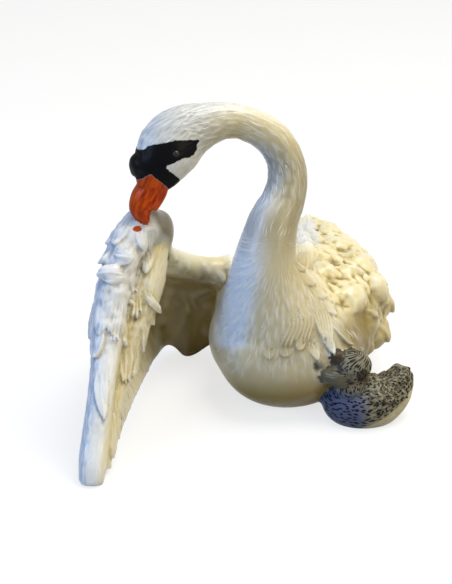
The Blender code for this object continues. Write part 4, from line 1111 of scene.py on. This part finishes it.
class Graph:
    """A material's nodes, added and joined by name."""

    def __init__(self, name):
        self.material = bpy.data.materials.new(name)
        self.material.use_nodes = True
        self.tree = self.material.node_tree
        self.shader = self.tree.nodes["Principled BSDF"]

    def node(self, kind, inputs=None, **settings):
        """A node with its settings, and its inputs set to values or linked to outputs."""
        made = self.tree.nodes.new("ShaderNode" + kind)
        for key, value in settings.items():
            setattr(made, key, value)
        for key, value in (inputs or {}).items():
            self.join(made, key, value)
        return made

    def join(self, node, key, value):
        """Sets an input to a value or an opaque colour, or links it to an output."""
        socket = node.inputs[key]
        if isinstance(value, bpy.types.NodeSocket):
            self.tree.links.new(value, socket)
        else:
            socket.default_value = value + (1.0,) if socket.type == "RGBA" else value

    def surface(self, inputs):
        """Sets or links the shader's own inputs."""
        for key, value in inputs.items():
            self.join(self.shader, key, value)
        return self.material

    def number(self, name):
        """A number stored on the points."""
        return self.node("Attribute", attribute_name=name).outputs["Fac"]

    def math(self, operation, first, second):
        """A sum, a product or the like of two values."""
        return self.node("Math", {0: first, 1: second}, operation=operation).outputs[0]

    def times(self, first, second):
        """One value times another."""
        return self.math("MULTIPLY", first, second)

    def rest(self, value):
        """What is left of 1."""
        return self.math("SUBTRACT", 1.0, value)

    def stretch(self, vector, scale, turn=0.0):
        """Places scaled, and turned in the plane of their first two numbers."""
        return self.node("Mapping", {"Vector": vector, "Rotation": (0.0, 0.0, turn),
                                     "Scale": scale}).outputs[0]

    def cloud(self, vector, scale, **inputs):
        """Soft noise."""
        inputs = {"Vector": vector, "Scale": scale, **inputs}
        return self.node("TexNoise", inputs).outputs["Fac"]

    def dashes(self, vector, low, high):
        """A dash in the middle of each cell of a pattern."""
        cells = self.node("TexVoronoi", {"Vector": vector, "Scale": 1.0}, voronoi_dimensions="2D")
        return self.fade(cells.outputs["Distance"], low, high)

    def fade(self, value, low, high):
        """1 where the value is under low, falling to 0 at high."""
        return self.node("MapRange", {"Value": value, "From Min": low, "From Max": high,
                                      "To Min": 1.0, "To Max": 0.0}).outputs["Result"]

    def blend(self, share, first, second):
        """Between two colours, by a share."""
        made = self.node("Mix", data_type="RGBA")
        self.join(made, 0, share)
        self.join(made, 6, first)
        self.join(made, 7, second)
        return made.outputs[2]


def casting_paint():
    """Pearly paint under a gloss coat, with the black face and the orange bill brushed on."""
    g = Graph("painted_casting")
    here = g.node("TexCoord").outputs["Object"]
    flow = g.node("CombineXYZ", {"X": g.number("along"), "Y": g.number("across")}).outputs[0]
    rough_place, speckle = g.rest(g.number("still")), g.number("speckle")
    ragged = g.times(g.math("SUBTRACT", g.cloud(here, 900.0, Detail=3.0), 0.5), 1.6)
    streaks = g.cloud(g.stretch(flow, (0.25, 2.4, 1.0)), 1.0, Detail=4.0, Roughness=0.65)
    brush = g.cloud(g.stretch(flow, (0.16, 0.75, 1.0)), 1.0, Detail=3.0)
    cloud = g.cloud(here, 60.0, Detail=4.0)
    grain = g.cloud(here, 420.0, Detail=3.0)
    # short hatched strokes, which lean to one side or the other, and the cygnet's dark dashes
    bent = g.node("TexNoise", {"Vector": here, "Scale": 110.0}).outputs["Color"]
    bent = g.node("VectorMath", {0: bent, 1: (3.0, 3.0, 0.0)}, operation="MULTIPLY").outputs[0]
    bent = g.node("VectorMath", {0: flow, 1: bent}, operation="ADD").outputs[0]
    hatch = g.times(g.dashes(g.stretch(bent, (0.07, 0.85, 1.0), 0.35), 0.05, 0.22), rough_place)
    dash = g.times(g.dashes(g.stretch(bent, (0.50, 0.90, 1.0)), 0.24, 0.40), speckle)

    ground = g.node("Attribute", attribute_name="ground").outputs["Color"]
    dull, bright = g.blend(0.16, ground, DULL_WASH), g.blend(0.50, ground, PAINTED_HIGHLIGHT_WHITE)
    ground = g.blend(g.times(g.fade(streaks, 0.36, 0.62), rough_place), ground, dull)
    ground = g.blend(g.fade(cloud, 0.30, 0.55), ground, dull)
    pale = g.rest(g.math("GREATER_THAN", speckle, 0.02))
    # the hatched strokes paler: painted highlights along them
    ground = g.blend(g.times(hatch, pale), ground, bright)
    ground = g.blend(dash, ground, DOWN_DARK)
    bill_paint = g.blend(g.fade(brush, 0.34, 0.60), BILL_ORANGE, BILL_RED)
    orange = g.fade(g.math("ADD", g.number("orange"), g.times(ragged, 0.4)), -0.15, 0.1)
    black = g.fade(g.math("ADD", g.number("black"), g.times(ragged, 0.5)), -0.15, 0.1)
    black = g.times(black, g.rest(orange))
    ground = g.blend(orange, ground, bill_paint)

    height = g.math("ADD", g.times(g.times(streaks, rough_place), 0.7), g.times(grain, 0.3))
    height = g.math("ADD", height, g.times(hatch, 0.6))
    height = g.math("SUBTRACT", height, g.times(dash, 1.2))
    clean = g.rest(g.times(g.math("MAXIMUM", black, orange), 0.75))
    bump = g.node("Bump", {"Height": g.times(height, clean), "Strength": 0.6, "Distance": 0.00025})
    rough = g.node("MapRange", {"Value": cloud, "To Min": 0.22, "To Max": 0.38})
    bare = g.math("MAXIMUM", g.times(orange, 0.7), g.number("matte"))
    bare = g.math("MAXIMUM", black, bare)
    return g.surface({
        "Base Color": g.blend(black, ground, MASK_BLACK), "Roughness": rough.outputs["Result"],
        "Normal": bump.outputs["Normal"], "Metallic": 0.0, "Specular IOR Level": 0.06,
        "Coat Weight": g.times(g.rest(bare), 0.5), "Coat Roughness": 0.20,
        "Subsurface Weight": 0.05, "Subsurface Radius": (1.0, 0.9, 0.7),
        "Subsurface Scale": 0.001})


def eye_paint():
    """Glossy black enamel."""
    g = Graph("eye_enamel")
    mottle = g.cloud(g.node("TexCoord").outputs["Object"], 900.0)
    return g.surface({"Base Color": g.blend(mottle, ENAMEL, ENAMEL_WORN), "Roughness": 0.15,
                      "Specular IOR Level": 0.25})


def finish_piece(shape, material):
    """Gives a piece its material, its size in metres, and its place in the frame."""
    shape.data.materials.clear()
    shape.data.materials.append(material)
    shape.data.transform(Matrix.Scale(MM, 4))
    shape.data.shade_smooth()
    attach(shape, "root")
    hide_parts("swan_figurine")


def keep_inside(mesh, box):
    """Presses the points that stand out of the CAD model's box back to its sides."""
    points, _, _ = shape_arrays(mesh)
    low, high = np.array(box) / MM
    mesh.vertices.foreach_set("co", np.clip(points, low + 0.01, high - 0.01).ravel())
    mesh.update()


def cast(clay, name, box):
    """Joins the clay into one skin, carves it, thins it, cuts it flat and paints it."""
    near = clay.skin()
    solid = clay.form(name, SKIN_VOXEL, SKIN_SOFTNESS)
    flows, coats = clay.read(near, [v.co for v in solid.data.vertices])
    melt(solid.data, coats)
    carve(solid.data, flows, coats)
    thin = solid.modifiers.new("thin", "DECIMATE")
    thin.ratio = min(1, FACES_KEPT / (2 * len(solid.data.polygons)))
    settle(solid)
    stand_flat(solid.data)
    keep_inside(solid.data, box)
    flows, coats = clay.read(near, [v.co for v in solid.data.vertices])
    paint(solid.data, flows, coats)
    finish_piece(solid, casting_paint())


def eyes(skin):
    """A small bead of enamel on each side of the head."""
    fore = np.array(FORE)
    out = np.array([-fore[1], fore[0], 0.0])
    for name, side in (("eye_left", 1), ("eye_right", -1)):
        start = BILL_TIP - fore * 10.8 + (0, 0, 27.8) + out * side * 22
        place, _, _, _ = skin.ray_cast(Vector(start), Vector(-out * side))
        bead = bmesh.new()
        bmesh.ops.create_uvsphere(bead, u_segments=32, v_segments=20, radius=EYE_RADIUS)
        bmesh.ops.scale(bead, vec=(1.0, 1.0, 0.86), verts=bead.verts)
        bmesh.ops.translate(bead, vec=place - Vector(out * side) * 0.9, verts=bead.verts)
        mesh = bpy.data.meshes.new(name)
        bead.to_mesh(mesh)
        bead.free()
        finish_piece(stand(name, mesh), eye_paint())


def swan(box):
    """The casting and its eyes."""
    clay = Clay()
    body(clay)
    neck_and_head(clay)
    open_wing(clay)
    folded_wing(clay)
    cygnet(clay)
    clay.blend(SEAM_VOXEL, SEAM_SOFTNESS)
    skin = clay.skin()
    bill(clay)
    breast_feathers(clay, skin)
    flank_feathers(clay, skin)
    back_feathers(clay, skin)
    tail_feathers(clay)
    wing_feathers(clay)
    edge_feathers(clay, skin)
    hollow_feathers(clay, skin)
    cygnet_feathers(clay, skin)
    cast(clay, "painted_swan", box)
    eyes(skin)


def seen_ray(nodes, links):
    """1 for the rays that show the surroundings themselves: seen, mirrored or seen through."""
    path = nodes.new("ShaderNodeLightPath")
    seen = path.outputs["Is Camera Ray"]
    for kind in ("Is Glossy Ray", "Is Transmission Ray"):
        both = nodes.new("ShaderNodeMath")
        both.operation = "MAXIMUM"
        links.new(seen, both.inputs[0])
        links.new(path.outputs[kind], both.inputs[1])
        seen = both.outputs[0]
    return seen


def studio():
    """A pale floor, a white background and soft lamps."""
    scene = bpy.context.scene
    scene.view_settings.view_transform = "Standard"
    floor = bpy.data.meshes.new("floor")
    floor.from_pydata([(-3, -3, 0), (3, -3, 0), (3, 3, 0), (-3, 3, 0)], [], [(0, 1, 2, 3)])
    g = Graph("pale_floor")
    seen = seen_ray(g.tree.nodes, g.tree.links)
    floor.materials.append(g.surface({
        "Base Color": FLOOR_GREY, "Roughness": 0.7, "Emission Color": (1.0, 1.0, 1.0),
        "Emission Strength": g.times(seen, FLOOR_GLOW)}))
    stand("floor", floor)

    world = bpy.data.worlds.new("studio")
    scene.world = world
    world.use_nodes = True
    nodes, links = world.node_tree.nodes, world.node_tree.links
    level = nodes.new("ShaderNodeMapRange")
    level.inputs["To Min"].default_value = WORLD_LIGHT
    level.inputs["To Max"].default_value = 1.0
    links.new(seen_ray(nodes, links), level.inputs["Value"])
    background = nodes["Background"]
    background.inputs["Color"].default_value = (1.0, 1.0, 1.0, 1.0)
    links.new(level.outputs["Result"], background.inputs["Strength"])

    for row in LAMPS:
        lamp(*row)


def lamp(name, place, size, power, colour):
    """A square soft lamp that faces the figurine."""
    light = bpy.data.lights.new(name, "AREA")
    light.size = size
    light.energy = power
    light.color = colour
    aim(stand(name, light), Vector(place))


def camera():
    """The photograph's view: straight from the front, looking down."""
    lens = bpy.data.cameras.new("camera")
    lens.lens = CAMERA_LENS
    lens.clip_start = 0.01
    shape = stand("camera", lens)
    tilt = math.radians(CAMERA_ELEVATION)
    away = Vector((0, -math.cos(tilt), math.sin(tilt))) * CAMERA_DISTANCE
    aim(shape, Vector(CAMERA_AIM) + away)
    bpy.context.scene.camera = shape


def aim(shape, place):
    """Puts a lamp or a camera at a place, facing the figurine."""
    shape.location = place
    shape.rotation_euler = (Vector(CAMERA_AIM) - place).to_track_quat("-Z", "Y").to_euler()


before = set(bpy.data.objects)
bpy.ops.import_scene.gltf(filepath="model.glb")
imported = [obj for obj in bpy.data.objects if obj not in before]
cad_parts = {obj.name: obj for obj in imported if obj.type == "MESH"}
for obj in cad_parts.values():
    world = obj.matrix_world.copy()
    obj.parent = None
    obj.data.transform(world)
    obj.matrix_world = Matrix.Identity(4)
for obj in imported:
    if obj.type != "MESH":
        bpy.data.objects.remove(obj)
cad_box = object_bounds()
swan(cad_box)
studio()
camera()
